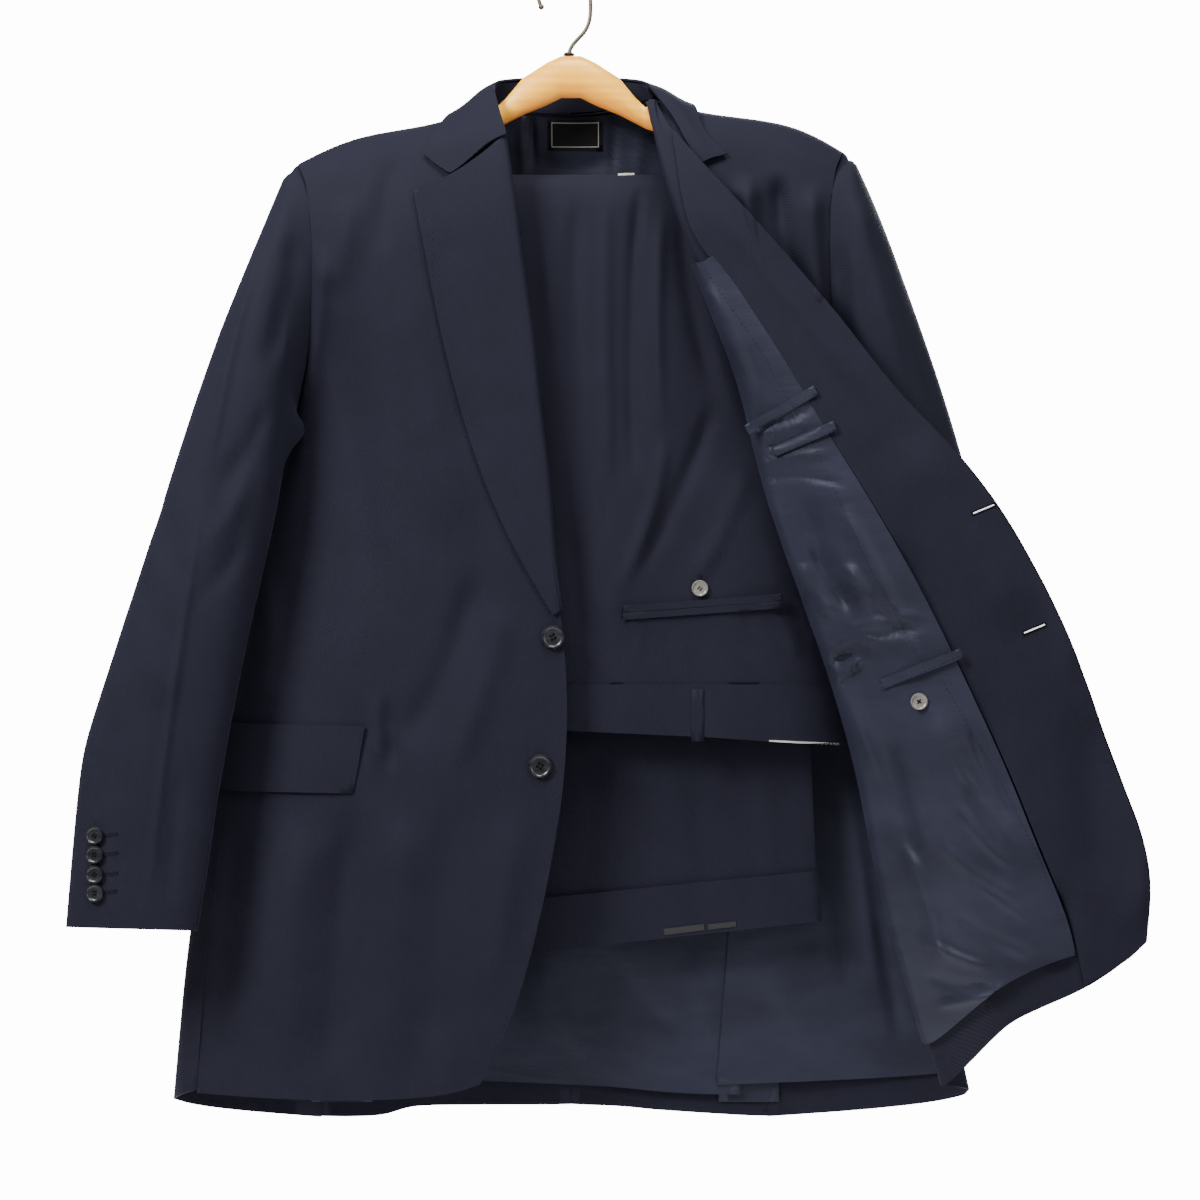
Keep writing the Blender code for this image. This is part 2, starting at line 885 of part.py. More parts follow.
def turned_place(u, v):
    """A place on the turned-back part: u from its fold to its edge, v down from the neck."""
    return coons(FOLD_CURVE, EDGE_CURVE, lambda t: mix(FOLD[0], EDGE[0], t), HEM_CURVE, u, v)


def fold_start(v):
    """Turn and height where the opened front leaves the body for its fold, and the fold's size."""
    x, z = turned_place(0, v)
    radius = fold_radius(z)
    near = x + FOLD_COVER + radius
    return turn_at(near, z), z, near, radius


def right_front(q, v):
    """The opened front: q is 0 at the side seam, 1 at the fold, 2 past it and 3 at the edge."""
    _, z0, near, radius = fold_start(v)
    if q <= 1:
        seam, top = outer_edge(1, False), shoulder_edge(1, False)
        fold = lambda t: fold_start(t)[:2]
        return body(*coons(seam, fold, top, lambda t: mix(seam(1), fold(1), t), q, v))
    yh = front(near, z0).y
    if q < 2:
        angle = math.pi * (q - 1)
        return Vector((near - radius * math.sin(angle), yh - radius + radius * math.cos(angle), z0))
    x, z = turned_place(q - 2, v)
    x += (FOLD_COVER + radius) * (1 - (q - 2))
    base = turned_depth(x, z)
    start = yh - 2 * radius
    return Vector((x, base + (start - read(TURNED_DEPTH, z0)[0]) * (1 - smooth((q - 2) * 3)), z))


def right_out(q, v, out):
    step = 0.004
    v0, v1 = clamp(v - step), clamp(v + step)
    q0, q1 = clamp(q - step, 0, 3), clamp(q + step, 0, 3)
    across = right_front(q1, v) - right_front(q0, v)
    down = right_front(q, v1) - right_front(q, v0)
    return right_front(q, v) - across.cross(down).normalized() * out


def forepart_right(look):
    columns = [clamp(q, RIGHT_SEAM, 1) for q in evenly(SHOULDER_COLUMNS)] + TURNED_COLUMNS
    grid = [[right_front(q, v) for q in columns] for v in body_rows()]
    return cloth("forepart_right", grid, WOOL, look)


def seam_share(v):
    """Where a row of the turned-back part crosses the seam of facing and lining."""
    low, high = 0.0, 1.0
    for _ in range(24):
        middle = (low + high) / 2
        x, z = turned_place(middle, v)
        if x < seam_x(z):
            low = middle
        else:
            high = middle
    return 2 + low


def facing_right(look):
    grid = []
    for v in [clamp(row, 0, 0.996) for row in body_rows() if row > SHOULDER_ROWS[-1]]:
        start = max(seam_share(v) + SEAM_SHARE, 2.01)
        grid.append([right_out(start + (2.99 - start) * i / 6, v, FACING_OUT) for i in range(7)])
    return cloth("facing_right", grid, FACING, look)


def lining_right(look):
    grid = []
    rows = [v for v in body_rows() if LINING_START < v < LINING_END]
    for v in [LINING_START, *rows, LINING_END]:
        stop = max(seam_share(v) - SEAM_SHARE, 2.02)
        qs = [1.5, 1.75] + [2 + (stop - 2) * share for share in (0, 0.16, 0.32, 0.5, 0.75, 1)]
        grid.append([right_out(q, v, LINING_OUT) for q in qs])
    return cloth("lining_front_right", grid, LINING, look)


def lapel_right(look):
    """The hidden lapel, still folded along the roll line behind the turned-back front."""
    grid = []
    for i in range(8):
        v = 0.082 + 0.36 * i / 7
        reach = 0.80 - 0.55 * i / 7
        grid.append([right_out(2.985 - reach * k / 4, v, -LAPEL_OUT) for k in range(5)])
    return cloth("lapel_right", grid, FACING, look)


# Collar

def collar_rows(side):
    """Seam, roll and leaf edge for each station, from the back's middle to the front."""
    rows = []
    for sx, sz, behind, rx, ry, rz, ex, ey, ez in (*COLLAR, COLLAR_TURN[side]):
        seam = back(side * sx, neck_z(side, sx)) if behind else front(side * sx, sz)
        if ez > 0:
            ez += shoulder(side * ex)
        rows.append((*seam, side * rx, ry, rz, side * ex, ey, ez))
    for rx, rz, ex, ez in COLLAR_LEFT_END if side < 0 else COLLAR_RIGHT_END:
        roll, edge = front(side * rx, rz, ROLL_OUT), front(side * ex, ez, COLLAR_OUT)
        rows.append((*roll, *roll, *edge))
    return rows


def collar_stations():
    """All stations, numbered from the back's middle: negative to the left."""
    left, right = collar_rows(-1), collar_rows(1)
    rows = [(-i, *row) for i, row in enumerate(left) if i] + [(i, *row) for i, row in enumerate(right)]
    return tuple(sorted(rows))


def collar_leaf(look):
    stations = collar_stations()
    grid = []
    for i in range(-14, 15):
        values = read(stations, i / 2)
        roll, edge = Vector(values[3:6]), Vector(values[6:])
        row = []
        for share in (0, 0.12, 0.3, 0.55, 0.8, 1):
            point = roll.lerp(edge, share)
            out = Vector((edge.x - roll.x, edge.y - roll.y, 0)).normalized()
            point += (out * 4 + Vector((0, 0, 3))) * math.sin(math.pi * min(1, share * 1.4)) * (1 - share)
            row.append(point)
        grid.append(row)
    return cloth("collar_leaf", grid, WOOL, look)


def collar_stand(look):
    stations = collar_stations()
    grid = []
    for i in range(17):
        values = read(stations, STAND_FROM + (STAND_TO - STAND_FROM) * i / 16)
        low, high = Vector(values[:3]), Vector(values[3:6])
        low.z += STAND_GAP
        high.z -= STAND_TOP_GAP
        middle = low.lerp(high, 0.5) + Vector((0, 0.8, 0))
        grid.append([low, middle, high])
    return cloth("collar_stand", grid, WOOL, look)


FRONT_CURVE = curve(*FRONT_EDGE)
FOLD_CURVE = curve(*FOLD)
EDGE_CURVE = curve(*EDGE)
HEM_CURVE = curve(*TURNED_HEM)
FOLD_BY_HEIGHT = tuple((z, x) for x, z in FOLD)


# Sleeves

def sleeve_ring(side, k):
    ox, oz, ix, iz, middle, half = read(SLEEVE_LEFT if side < 0 else SLEEVE_RIGHT, k)
    return Vector((side * ox, middle, oz)), Vector((side * ix, middle, iz)), half


def armhole_ring(side, j):
    """The armhole's point for a step round the sleeve, a little outside the body's edge."""
    behind = j > RING_POINTS / 2
    step = RING_POINTS - j if behind else j
    if step <= ARM_POINTS:
        turn, z = armhole(side, step, behind)
    else:
        turn, z = underarm(side, (j - ARM_POINTS) / UNDER_POINTS)
    out = ARM_OUT + (UNDER_OUT - ARM_OUT) * smooth((step - 5) / 4)
    point = body(turn, z)
    point.x += side * out
    return point


def sleeve(side, k, j):
    """A point of the sleeve: k counts rings down from the armhole, j steps round from outside."""
    outer, inner, half = sleeve_ring(side, max(k, 1))
    angle = 2 * math.pi * j / RING_POINTS
    share = (1 - math.copysign(abs(math.cos(angle)) ** 0.9, math.cos(angle))) / 2
    point = outer.lerp(inner, share)
    point.y -= half * math.copysign(abs(math.sin(angle)) ** 0.8, math.sin(angle))
    if k < 1:
        point = armhole_ring(side, j % RING_POINTS).lerp(point, k)
    return point


def sleeve_piece(side, name, first, look):
    rings = [0, 0.5, 1, 2, 3, 4, 5, 6, 7, 8, 9, 10]
    grid = []
    for k in rings:
        row = []
        for i in range(11):
            j = first + i
            if i in (0, 10):
                j += SLEEVE_SEAM if i == 0 else -SLEEVE_SEAM
            row.append(sleeve(side, k, j % RING_POINTS))
        grid.append(row)
    return cloth(name, grid, WOOL, look)


def sleeves(look):
    for side, word in ((-1, "left"), (1, "right")):
        sleeve_piece(side, "top_sleeve_" + word, -1, look)
        sleeve_piece(side, "under_sleeve_" + word, 9, look)


# Hanger

def hanger_wood(look):
    rings = []
    for x, high, low, half in HANGER:
        side = -1 if x < 0 else 1
        lean = read(SIDE_BACKWARDS, -150)[0] * (x / 300) ** 2
        top = high if abs(x) < ARM_START else shoulder(x) - HANGER_ROOM
        ring = []
        for i in range(10):
            angle = 2 * math.pi * i / 10
            up = math.copysign(abs(math.sin(angle)) ** 0.8, math.sin(angle))
            ahead = math.copysign(abs(math.cos(angle)) ** 0.7, math.cos(angle))
            ring.append((x, lean + half * ahead, (top + low) / 2 + (top - low) / 2 * up))
        rings.append(ring)
    return loft("hanger_wood", rings, look)


def hanger_hook(look):
    points = [(HOOK_FOOT[0], 0, HOOK_FOOT[1])]
    neck = curve(*HOOK_NECK)
    points += [(neck(i / 8)[0], 0, neck(i / 8)[1]) for i in range(1, 9)]
    centre_x, centre_z = HOOK_CENTRE
    for i in range(1, 17):
        angle = math.radians(HOOK_FROM + (HOOK_TO - HOOK_FROM) * i / 16)
        points.append((centre_x + HOOK_RADIUS * math.cos(angle), 0, centre_z + HOOK_RADIUS * math.sin(angle)))
    return wire("hanger_hook", points, HOOK_WIRE / 2, look)


def hanger_bar(look):
    return wire("hanger_bar", [(-BAR_HALF, 0, BAR_Z), (0, 0, BAR_Z), (BAR_HALF, 0, BAR_Z)],
                BAR_RADIUS, look, 3)


# Trousers

def bend(x):
    """How far the wide end of the trousers curves back inside the jacket."""
    return TROUSER_BEND * smooth((abs(x - 25) - 150) / 60)


def leg_station(layer, s):
    """Middle line of a folded leg: s is -1 at the waist, 0 over the bar and 1 at the hem."""
    z, left, right, near_y, far_y, half, tilt = read(LEG_ROWS, s)
    return z, left, right, (near_y if layer == "near" else far_y), half, tilt


LEG_SHARES = (-1, -0.97, -0.84, -0.66, -0.48, -0.3, -0.12, 0.06, 0.22, 0.4, 0.6, 0.8, 0.97, 1)


def leg_point(layer, s, share, face, grow=0.0):
    """A point on a leg: share across it, face 1 on the outside of the fold and -1 inside."""
    z, left, right, y, half, tilt = leg_station(layer, s)
    x = (left + right) / 2 + (right - left) / 2 * share + grow * share
    thick = half * math.sqrt(max(0.0, 1 - abs(share) ** 16)) + (grow if abs(share) < 1 else 0)
    if s <= -BAR_SHARE or s >= BAR_SHARE:
        z += tilt * (x - 80)
        ahead = -1 if s < 0 else 1
        y += ahead * thick * face
        if s < 0:
            y += bend(x) * smooth((-s - 0.3) * 2)
            if face > 0 and layer == "near":
                y += min(folds(TROUSER_FOLDS, x, z), FOLD_LIMIT) * (1 - abs(share) ** 8)
        elif face < 0 and layer == "far":
            y -= folds(REAR_FOLDS, x, z) * (1 - abs(share) ** 8)
        return Vector((x, y, z))
    radius = LEG_RADIUS[layer] + thick * face
    angle = math.pi * (s / BAR_SHARE) / 2
    return Vector((x, radius * math.sin(angle), BAR_Z + radius * math.cos(angle)))


def leg_ring(layer, s, grow=0.0):
    outer = [leg_point(layer, s, share, 1, grow) for share in LEG_SHARES]
    inner = [leg_point(layer, s, share, -1, grow) for share in LEG_SHARES[1:-1]]
    return outer + inner[::-1]


def leg(layer, look):
    front_part = [-1, -0.93, -0.85, -0.76, -0.66, -0.56, -0.46, -0.36, -0.26, -0.16]
    over = [BAR_SHARE * i / 3 for i in range(-3, 4)]
    rear = [0.2, 0.35, 0.5, 0.65, 0.8, LEG_END]
    return loft("trouser_leg_" + layer, [leg_ring(layer, s) for s in front_part + over + rear], look)


def turn_up(layer, look):
    grid = []
    for i in range(3):
        s = TURN_UP_START + (1 - TURN_UP_START) * i / 2
        grid.append(leg_ring(layer, s, TURN_UP_OUT))
    return cloth("turn_up_" + layer, grid, TURN_UP_WALL, look, True)


def waist_ring(z, grow, drop=True):
    """The band's ring round both legs at a height."""
    ring = []
    left, right = WAIST_SPAN
    for face in (1, -1):
        shares = LEG_SHARES if face > 0 else LEG_SHARES[1:-1][::-1]
        for share in shares:
            x = (left + right) / 2 + ((right - left) / 2 + grow) * share
            thick = (WAIST_DEPTH / 2 + grow) * math.sqrt(max(0.0, 1 - abs(share) ** 16))
            y = WAIST_Y - thick * face + bend(x)
            level = z - (WAIST_SLOPE * x * smooth((-598 - z) / 30) if drop else 0)
            ring.append(Vector((x, y, level)))
    return ring


def waistband(look, pale):
    top = -BAND_TOP
    grid = [waist_ring(top - BAND_HEIGHT * i / 3, 0) for i in range(4)]
    cloth("waistband", grid, WOOL, look, True)
    inside = [waist_ring(top - 0.5 - (BAND_HEIGHT - 1.5) * i / 3, -INSIDE_ROOM) for i in range(4)]
    for point in inside[-1]:
        point.z -= 5.5 * smooth((point.x - 150) / 30) * smooth((226 - point.x) / 8)
    return loft("waistband_lining", inside, pale)


def waist_face(x, z, out):
    thick = WAIST_DEPTH / 2
    return Vector((x, WAIST_Y - thick - out + bend(x), z))


def seat_face(x, z, out):
    """The outside of the near leg's front fall at a place."""
    low, high = -1.0, -BAR_SHARE
    for _ in range(24):
        middle = (low + high) / 2
        if leg_station("near", middle)[0] < z:
            low = middle
        else:
            high = middle
    _, left, right, _, _, _ = leg_station("near", low)
    share = (x - (left + right) / 2) * 2 / (right - left)
    point = leg_point("near", low, share, 1)
    return Vector((x, point.y - out, z))


def strip(name, place, start, end, height, out, thickness, look, steps=6):
    """A narrow strip on a surface, from one place to another across it."""
    (x0, z0), (x1, z1) = start, end
    run = math.hypot(x1 - x0, z1 - z0)
    up = Vector((-(z1 - z0) / run, (x1 - x0) / run)) * height / 2
    grid = []
    for side in (1, -1):
        row = []
        for i in range(steps + 1):
            x, z = mix(start, end, i / steps)
            row.append(place(x + up.x * side, z + up.y * side, out))
        grid.append(row)
    return cloth(name, grid, thickness, look)


def inner_face(x, z, out):
    return Vector((x, turned_depth(x, z) - out, z))


# Buttons

def button(name, place, normal, diameter, thickness, look):
    """A turned button with a raised rim round a dished middle."""
    radius, half = diameter / 2, thickness / 2
    profile = ((radius * 0.55, half * 0.35), (radius * 0.72, half), (radius * 0.92, half),
               (radius, half * 0.3), (radius * 0.9, -half))
    mesh = bpy.data.meshes.new(name)
    built = bmesh.new()
    steps = 12
    rows = []
    for r, h in profile:
        rows.append([built.verts.new(Vector((r * math.cos(2 * math.pi * i / steps),
                                             r * math.sin(2 * math.pi * i / steps), h)) * MM)
                     for i in range(steps)])
    for upper, lower in zip(rows, rows[1:]):
        for i in range(steps):
            k = (i + 1) % steps
            built.faces.new((upper[i], upper[k], lower[k], lower[i]))
    built.faces.new(rows[0])
    built.faces.new(rows[-1])
    bmesh.ops.recalc_face_normals(built, faces=built.faces)
    built.to_mesh(mesh)
    built.free()
    obj = bpy.data.objects.new(name, mesh)
    bpy.context.scene.collection.objects.link(obj)
    obj.location = seen(place) * MM
    obj.rotation_euler = Vector(normal).to_track_quat("Z", "Y").to_euler()
    return keep(obj, look)


def front_buttons(look):
    for number, (x, z) in enumerate(FRONT_BUTTONS, 1):
        normal = body_normal(turn_at(x, z), z)
        button(f"front_button_{number}", front(x, z, BUTTON_OUT + FRONT_BUTTON[1] / 2), normal,
               *FRONT_BUTTON, look)


def sleeve_share(x, z):
    """The sleeve's ring and step at a place seen on its front."""
    k, j, step = 8.0, 4.0, 1.0
    while step > 0.004:
        tries = [(k + a * step, j + b * 2 * step) for a in (-1, 0, 1) for b in (-1, 0, 1)]
        near = min(tries, key=lambda t: math.hypot(sleeve(-1, *t).x - x, sleeve(-1, *t).z - z))
        step = step / 2 if near == (k, j) else step
        k, j = near
    return k, j


def sleeve_out(side, k, j, out):
    point = sleeve(side, k, j)
    across = sleeve(side, k, j + 0.1) - sleeve(side, k, j - 0.1)
    down = sleeve(side, min(k + 0.05, 10), j) - sleeve(side, k - 0.05, j)
    normal = across.cross(down).normalized()
    if normal.y > 0:
        normal = -normal
    return point + normal * out, normal


def cuff_buttons(look):
    for number, z in enumerate(CUFF_BUTTON_Z, 1):
        k, j = sleeve_share(CUFF_BUTTON_X, z)
        for side, word in ((-1, "left"), (1, "right")):
            place, normal = sleeve_out(side, k, j, WOOL / 2 + 0.5 + CUFF_BUTTON[1] / 2)
            button(f"cuff_button_{word}_{number}", place, normal, *CUFF_BUTTON, look)


# Flap, label and linings

def flap_left(look):
    top, low = (FLAP_TOP, FLAP_LOW)
    end = lambda t: mix(top[1], low[1], t)
    turned = lambda line: (lambda t: (turn_at(*line(t)), line(t)[1]))
    left = lambda t: (FLAP_TURN, top[0][1] + (low[0][1] - top[0][1]) * t)
    right = turned(end)
    upper = lambda t: mix(left(0), right(0), t)
    lower = lambda t: mix(left(1), right(1), t)
    grid = patch(left, right, upper, lower, evenly(8), evenly(3), 0)
    return cloth("flap_left", formed(grid, FLAP_OUT), FACING, look)


def lining_back(look):
    left, right = curve(*LINING_BACK_LEFT), curve(*LINING_BACK_RIGHT)
    top = curve(LINING_BACK_LEFT[0], (0, NECK_BACK_Z - 1), LINING_BACK_RIGHT[0])
    hem = curve(*LINING_BACK_HEM)
    grid = []
    for v in evenly(12):
        places = [coons(left, right, top, hem, u, v) for u in evenly(10)]
        grid.append([back(x, z, -LINING_BACK_OUT - LINING_VENT_OUT * smooth((-650 - z) / 40))
                     for x, z in places])
    return cloth("lining_back", grid, LINING, look)


def lining_side(look):
    """Lining of the right side panel, whose free edge laps the back's lining at the vent."""
    grid = []
    for j in range(9):
        v = j / 8
        x0, z0 = curve(*LINING_SIDE_EDGE)(v)
        turn0 = turn_at(x0, z0, True)
        turn1 = LINING_SIDE_TURN
        z1 = z0 + (LINING_SIDE_END - LINING_SIDE_EDGE[-1][1]) * v
        row = []
        for i in range(7):
            u = i / 6
            row.append(body(turn0 + (turn1 - turn0) * u, z0 + (z1 - z0) * u, -LINING_SIDE_OUT[i]))
        grid.append(row)
    return cloth("lining_side_right", grid, LINING, look)


def vent_underlay(side, look):
    """The side panel's underlay, which the back laps at the vent."""
    grid = []
    for j in range(6):
        z = VENT_TOP + (VENT_END - VENT_TOP) * j / 5
        left, right = read(BACK_SEAM, z)
        seam = left if side < 0 else right
        row = [back(seam - side * VENT_LAP * (i / 3) + side * 10 * (1 - i / 3), z, -VENT_IN) for i in range(4)]
        grid.append(row)
    return cloth("vent_underlay_left" if side < 0 else "vent_underlay_right", grid, FACING, look)


def label(look):
    grid = []
    for z in (LABEL[2], (LABEL[2] + LABEL[3]) / 2, LABEL[3]):
        grid.append([back(LABEL[0] + (LABEL[1] - LABEL[0]) * i / 4, z, -LABEL_OUT) for i in range(5)])
    return cloth("label", grid, LABEL_THICK, look)


def main():
    for obj in list(bpy.data.objects):
        bpy.data.objects.remove(obj, do_unlink=True)
    made = bpy.data.collections.new("suit")
    bpy.context.scene.collection.children.link(made)
    wool = material("wool", (0.018, 0.021, 0.034), 0.85)
    lining = material("lining", (0.030, 0.042, 0.068), 0.45)
    wood = material("beech", (0.62, 0.38, 0.17), 0.45)
    steel = material("steel", (0.70, 0.68, 0.62), 0.25, 1.0)
    horn = material("dark_button", (0.012, 0.013, 0.018), 0.35)
    pearl = material("pearl_button", (0.62, 0.57, 0.50), 0.25)
    black = material("label", (0.01, 0.01, 0.012), 0.7)
    pale = material("pale_lining", (0.80, 0.79, 0.76), 0.8)
    grey = material("heel_tape", (0.20, 0.20, 0.22), 0.7)

    hanger_wood(wood)
    hanger_hook(steel)
    hanger_bar(wood)
    for side in (-1, 1):
        back_panel(side, wool)
        side_panel(side, wool)
        vent_underlay(side, wool)
    forepart_left(wool)
    lapel_left(wool)
    forepart_right(wool)
    facing_right(wool)
    lapel_right(wool)
    lining_right(lining)
    lining_back(lining)
    lining_side(lining)
    label(black)
    collar_leaf(wool)
    collar_stand(wool)
    sleeves(wool)
    flap_left(wool)
    front_buttons(horn)
    cuff_buttons(horn)
    for name, start, end in INNER_POCKETS:
        strip(name, inner_face, start, end, POCKET_JET, JET_OUT, JET_THICK, lining)
    x, z = INNER_BUTTON
    button("inner_button", inner_face(x, z, INNER_BUTTON_OUT), (0, -1, 0), *SMALL_BUTTON, pearl)
    leg("near", wool)
    leg("far", wool)
    turn_up("near", wool)
    turn_up("far", wool)
    waistband(wool, pale)
    strip("belt_loop", waist_face, BELT_LOOP[0], BELT_LOOP[1], BELT_LOOP_WIDTH, LOOP_OUT, JET_THICK, wool, 4)
    for name, start, end in BACK_POCKET:
        strip(name, seat_face, start, end, SEAT_JET, SEAT_OUT, JET_THICK, wool, 8)
    x, z = SEAT_BUTTON
    button("seat_button", seat_face(x, z, SEAT_BUTTON_OUT), (0, -1, 0), *SMALL_BUTTON, pearl)


main()
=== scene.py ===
"""The looks of a two-piece suit on a wooden hanger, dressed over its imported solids."""
import math

import bmesh
import bpy
import numpy as np
from mathutils import Matrix, Vector
from mathutils.bvhtree import BVHTree


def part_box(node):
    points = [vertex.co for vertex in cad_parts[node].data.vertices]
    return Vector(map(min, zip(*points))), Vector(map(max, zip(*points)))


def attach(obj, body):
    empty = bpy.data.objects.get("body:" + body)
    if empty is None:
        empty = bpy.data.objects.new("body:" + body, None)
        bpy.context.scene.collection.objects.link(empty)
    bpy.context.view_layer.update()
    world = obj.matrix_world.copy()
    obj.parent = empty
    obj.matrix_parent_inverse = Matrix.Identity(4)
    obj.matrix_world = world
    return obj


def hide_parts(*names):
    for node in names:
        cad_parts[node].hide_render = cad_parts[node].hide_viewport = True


bl_info = {
    "name": "Suit on a hanger",
    "version": (1, 0, 0),
    "blender": (4, 5, 0),
    "location": "View3D > Sidebar > Suit",
    "description": "Dresses the solids of a suit with worsted cloth, linings, buttons and a beech hanger",
    "category": "Object",
}

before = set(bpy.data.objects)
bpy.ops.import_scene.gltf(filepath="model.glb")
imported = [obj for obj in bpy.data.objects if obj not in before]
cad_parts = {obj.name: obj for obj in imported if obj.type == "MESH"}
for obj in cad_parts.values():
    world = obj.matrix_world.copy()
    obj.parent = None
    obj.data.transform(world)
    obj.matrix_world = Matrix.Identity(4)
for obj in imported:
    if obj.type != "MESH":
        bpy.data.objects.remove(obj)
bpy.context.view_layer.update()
MM = 0.001

# Degrees at which a smooth surface breaks, and how much of the cloth's unevenness is pressed in
SHARP_ANGLE = 42
UNEVEN_SHARE = 0.6

# A crease's straight legs, the share of it that fades out at each end, how much its height wanders,
# how fast it falls off sideways, and how many half widths it reaches
CREASE_LEGS = 20
CREASE_ENDS = 0.24
CREASE_WANDER = 0.22
CREASE_FALL = 1.5
CREASE_REACH = 2.2

# Degrees: triangles flatter than this are joined to quads, and edges sharper than this stay sharp
JOIN_ANGLE = 38
JOIN_SKEW = 62
EDGE_ANGLE = 55

# How near a neighbour a rim is drawn to it, and how far the two then overlap
SEAM_NEAR = 0.0004
SEAM_FAR = 0.022
SEAM_OVERLAP = 0.0007

# The photograph's frame: millimetres a pixel, its zero, and the eye's distance and middle
PIXEL = 0.83
PIXEL_ZERO = (571.0, -31.0)
SIGHT = 1850.0
SIGHT_MIDDLE = (24.0, -524.0)
HOOK_SHIFT = (5.4, 0.3)

# Folds and creases: three places in the photograph, half width in pixels, height in millimetres
# that is above zero for a ridge and below it for a trough
FRONT_CREASES = (
    (330, 300, 352, 450, 372, 640, 30, -3.0),
    (400, 250, 432, 420, 470, 560, 28, 2.4),
    (478, 560, 450, 660, 396, 752, 18, -3.2),
    (505, 600, 486, 680, 440, 790, 17, 2.2),
    (385, 700, 392, 735, 391, 768, 7, -3.2),
    (373, 698, 377, 735, 375, 770, 6, 1.8),
    (300, 820, 290, 930, 280, 1088, 28, 4.0),
    (352, 800, 340, 940, 328, 1090, 22, -3.6),
    (402, 800, 392, 940, 388, 1090, 24, 3.0),
    (460, 790, 440, 930, 430, 1080, 26, -3.0),
    (240, 820, 225, 950, 212, 1088, 18, -3.2),
    (520, 800, 505, 900, 480, 1020, 20, 2.2),
    (350, 190, 345, 240, 330, 300, 18, 2.2),
    (400, 150, 385, 200, 380, 260, 14, -1.4),
    (322, 240, 318, 330, 296, 430, 10, 2.6),
    (258, 560, 268, 640, 262, 720, 16, 2.4),
)
SLEEVE_CREASES = (
    (268, 215, 232, 350, 206, 490, 6, 2.4),
    (206, 480, 170, 720, 146, 925, 5, 2.2),
    (292, 230, 284, 300, 262, 380, 14, -3.6),
    (240, 205, 222, 290, 205, 350, 14, 2.6),
    (266, 400, 246, 452, 212, 486, 11, -2.8),
    (250, 470, 228, 520, 196, 548, 12, 2.6),
    (244, 535, 222, 574, 190, 600, 10, -2.2),
    (150, 480, 168, 540, 190, 590, 14, -2.4),
    (128, 600, 150, 660, 178, 700, 16, 2.0),
    (118, 700, 108, 780, 100, 860, 14, -1.8),
    (180, 760, 172, 840, 166, 920, 10, -1.8),
    (862, 190, 874, 270, 908, 390, 12, 3.2),
    (838, 230, 846, 320, 862, 400, 10, -3.0),
    (890, 240, 918, 330, 942, 420, 10, -2.6),
    (905, 230, 930, 320, 950, 400, 8, 1.8),
)
CHEST_CREASES = (
    (748, 170, 752, 230, 772, 292, 13, 5.0),
    (778, 170, 784, 230, 800, 300, 12, -4.2),
    (812, 180, 814, 250, 822, 330, 12, 4.0),
    (728, 190, 735, 225, 750, 262, 9, -2.6),
)
FACING_CREASES = (
    (700, 190, 790, 300, 880, 410, 12, 1.2),
    (900, 430, 970, 530, 1030, 640, 36, 3.0),
    (880, 520, 950, 640, 1010, 770, 28, -2.6),
    (1080, 690, 1096, 800, 1092, 900, 30, -3.4),
    (1128, 790, 1142, 870, 1124, 940, 18, 3.0),
    (1040, 560, 1060, 620, 1076, 690, 16, 1.8),
    (1050, 880, 1062, 930, 1052, 980, 18, -2.6),
)
LINING_CREASES = (
    (706, 278, 738, 350, 760, 420, 9, 2.0),
    (745, 428, 790, 418, 818, 398, 3.2, -1.3),
    (742, 437, 780, 430, 806, 420, 2.6, 1.0),
    (752, 448, 790, 440, 824, 420, 3.0, -1.2),
    (752, 470, 790, 458, 836, 452, 3.6, 1.3),
    (756, 480, 800, 476, 850, 486, 3.8, -1.4),
    (768, 500, 782, 560, 806, 620, 12, 2.6),
    (796, 480, 826, 560, 866, 640, 12, -2.4),
    (840, 500, 874, 570, 908, 640, 10, 2.0),
    (778, 560, 790, 600, 832, 640, 6, -1.8),
    (826, 652, 850, 640, 884, 640, 4.6, 2.6),
    (828, 662, 848, 656, 872, 646, 4.6, -3.2),
    (832, 676, 846, 670, 862, 656, 4.6, 2.4),
    (838, 684, 852, 676, 866, 664, 4.4, -2.2),
    (800, 560, 812, 590, 838, 622, 9, 2.4),
    (812, 540, 830, 580, 862, 612, 9, -2.6),
    (848, 560, 862, 590, 900, 618, 9, 2.0),
    (872, 590, 890, 618, 926, 640, 8, -2.0),
    (842, 632, 880, 622, 926, 612, 4.6, 1.6),
    (846, 642, 884, 634, 932, 622, 4.4, -1.6),
    (846, 690, 860, 730, 884, 790, 9, 2.2),
    (884, 720, 900, 800, 926, 880, 12, -2.6),
    (940, 700, 952, 770, 985, 830, 12, 2.2),
    (968, 720, 990, 776, 1016, 826, 7, -1.8),
    (950, 770, 984, 806, 1012, 852, 7, 1.2),
    (956, 800, 980, 838, 1020, 872, 6, -1.3),
    (936, 836, 972, 872, 1030, 900, 8, 1.2),
    (966, 874, 1000, 900, 1042, 930, 5, -1.0),
    (950, 910, 990, 936, 1040, 960, 8, -1.4),
    (900, 840, 926, 900, 944, 980, 10, 2.4),
    (916, 930, 946, 952, 1000, 972, 6, 2.4),
    (926, 975, 960, 986, 1010, 992, 6, -2.4),
    (934, 1004, 966, 1000, 1010, 984, 6, 2.4),
)
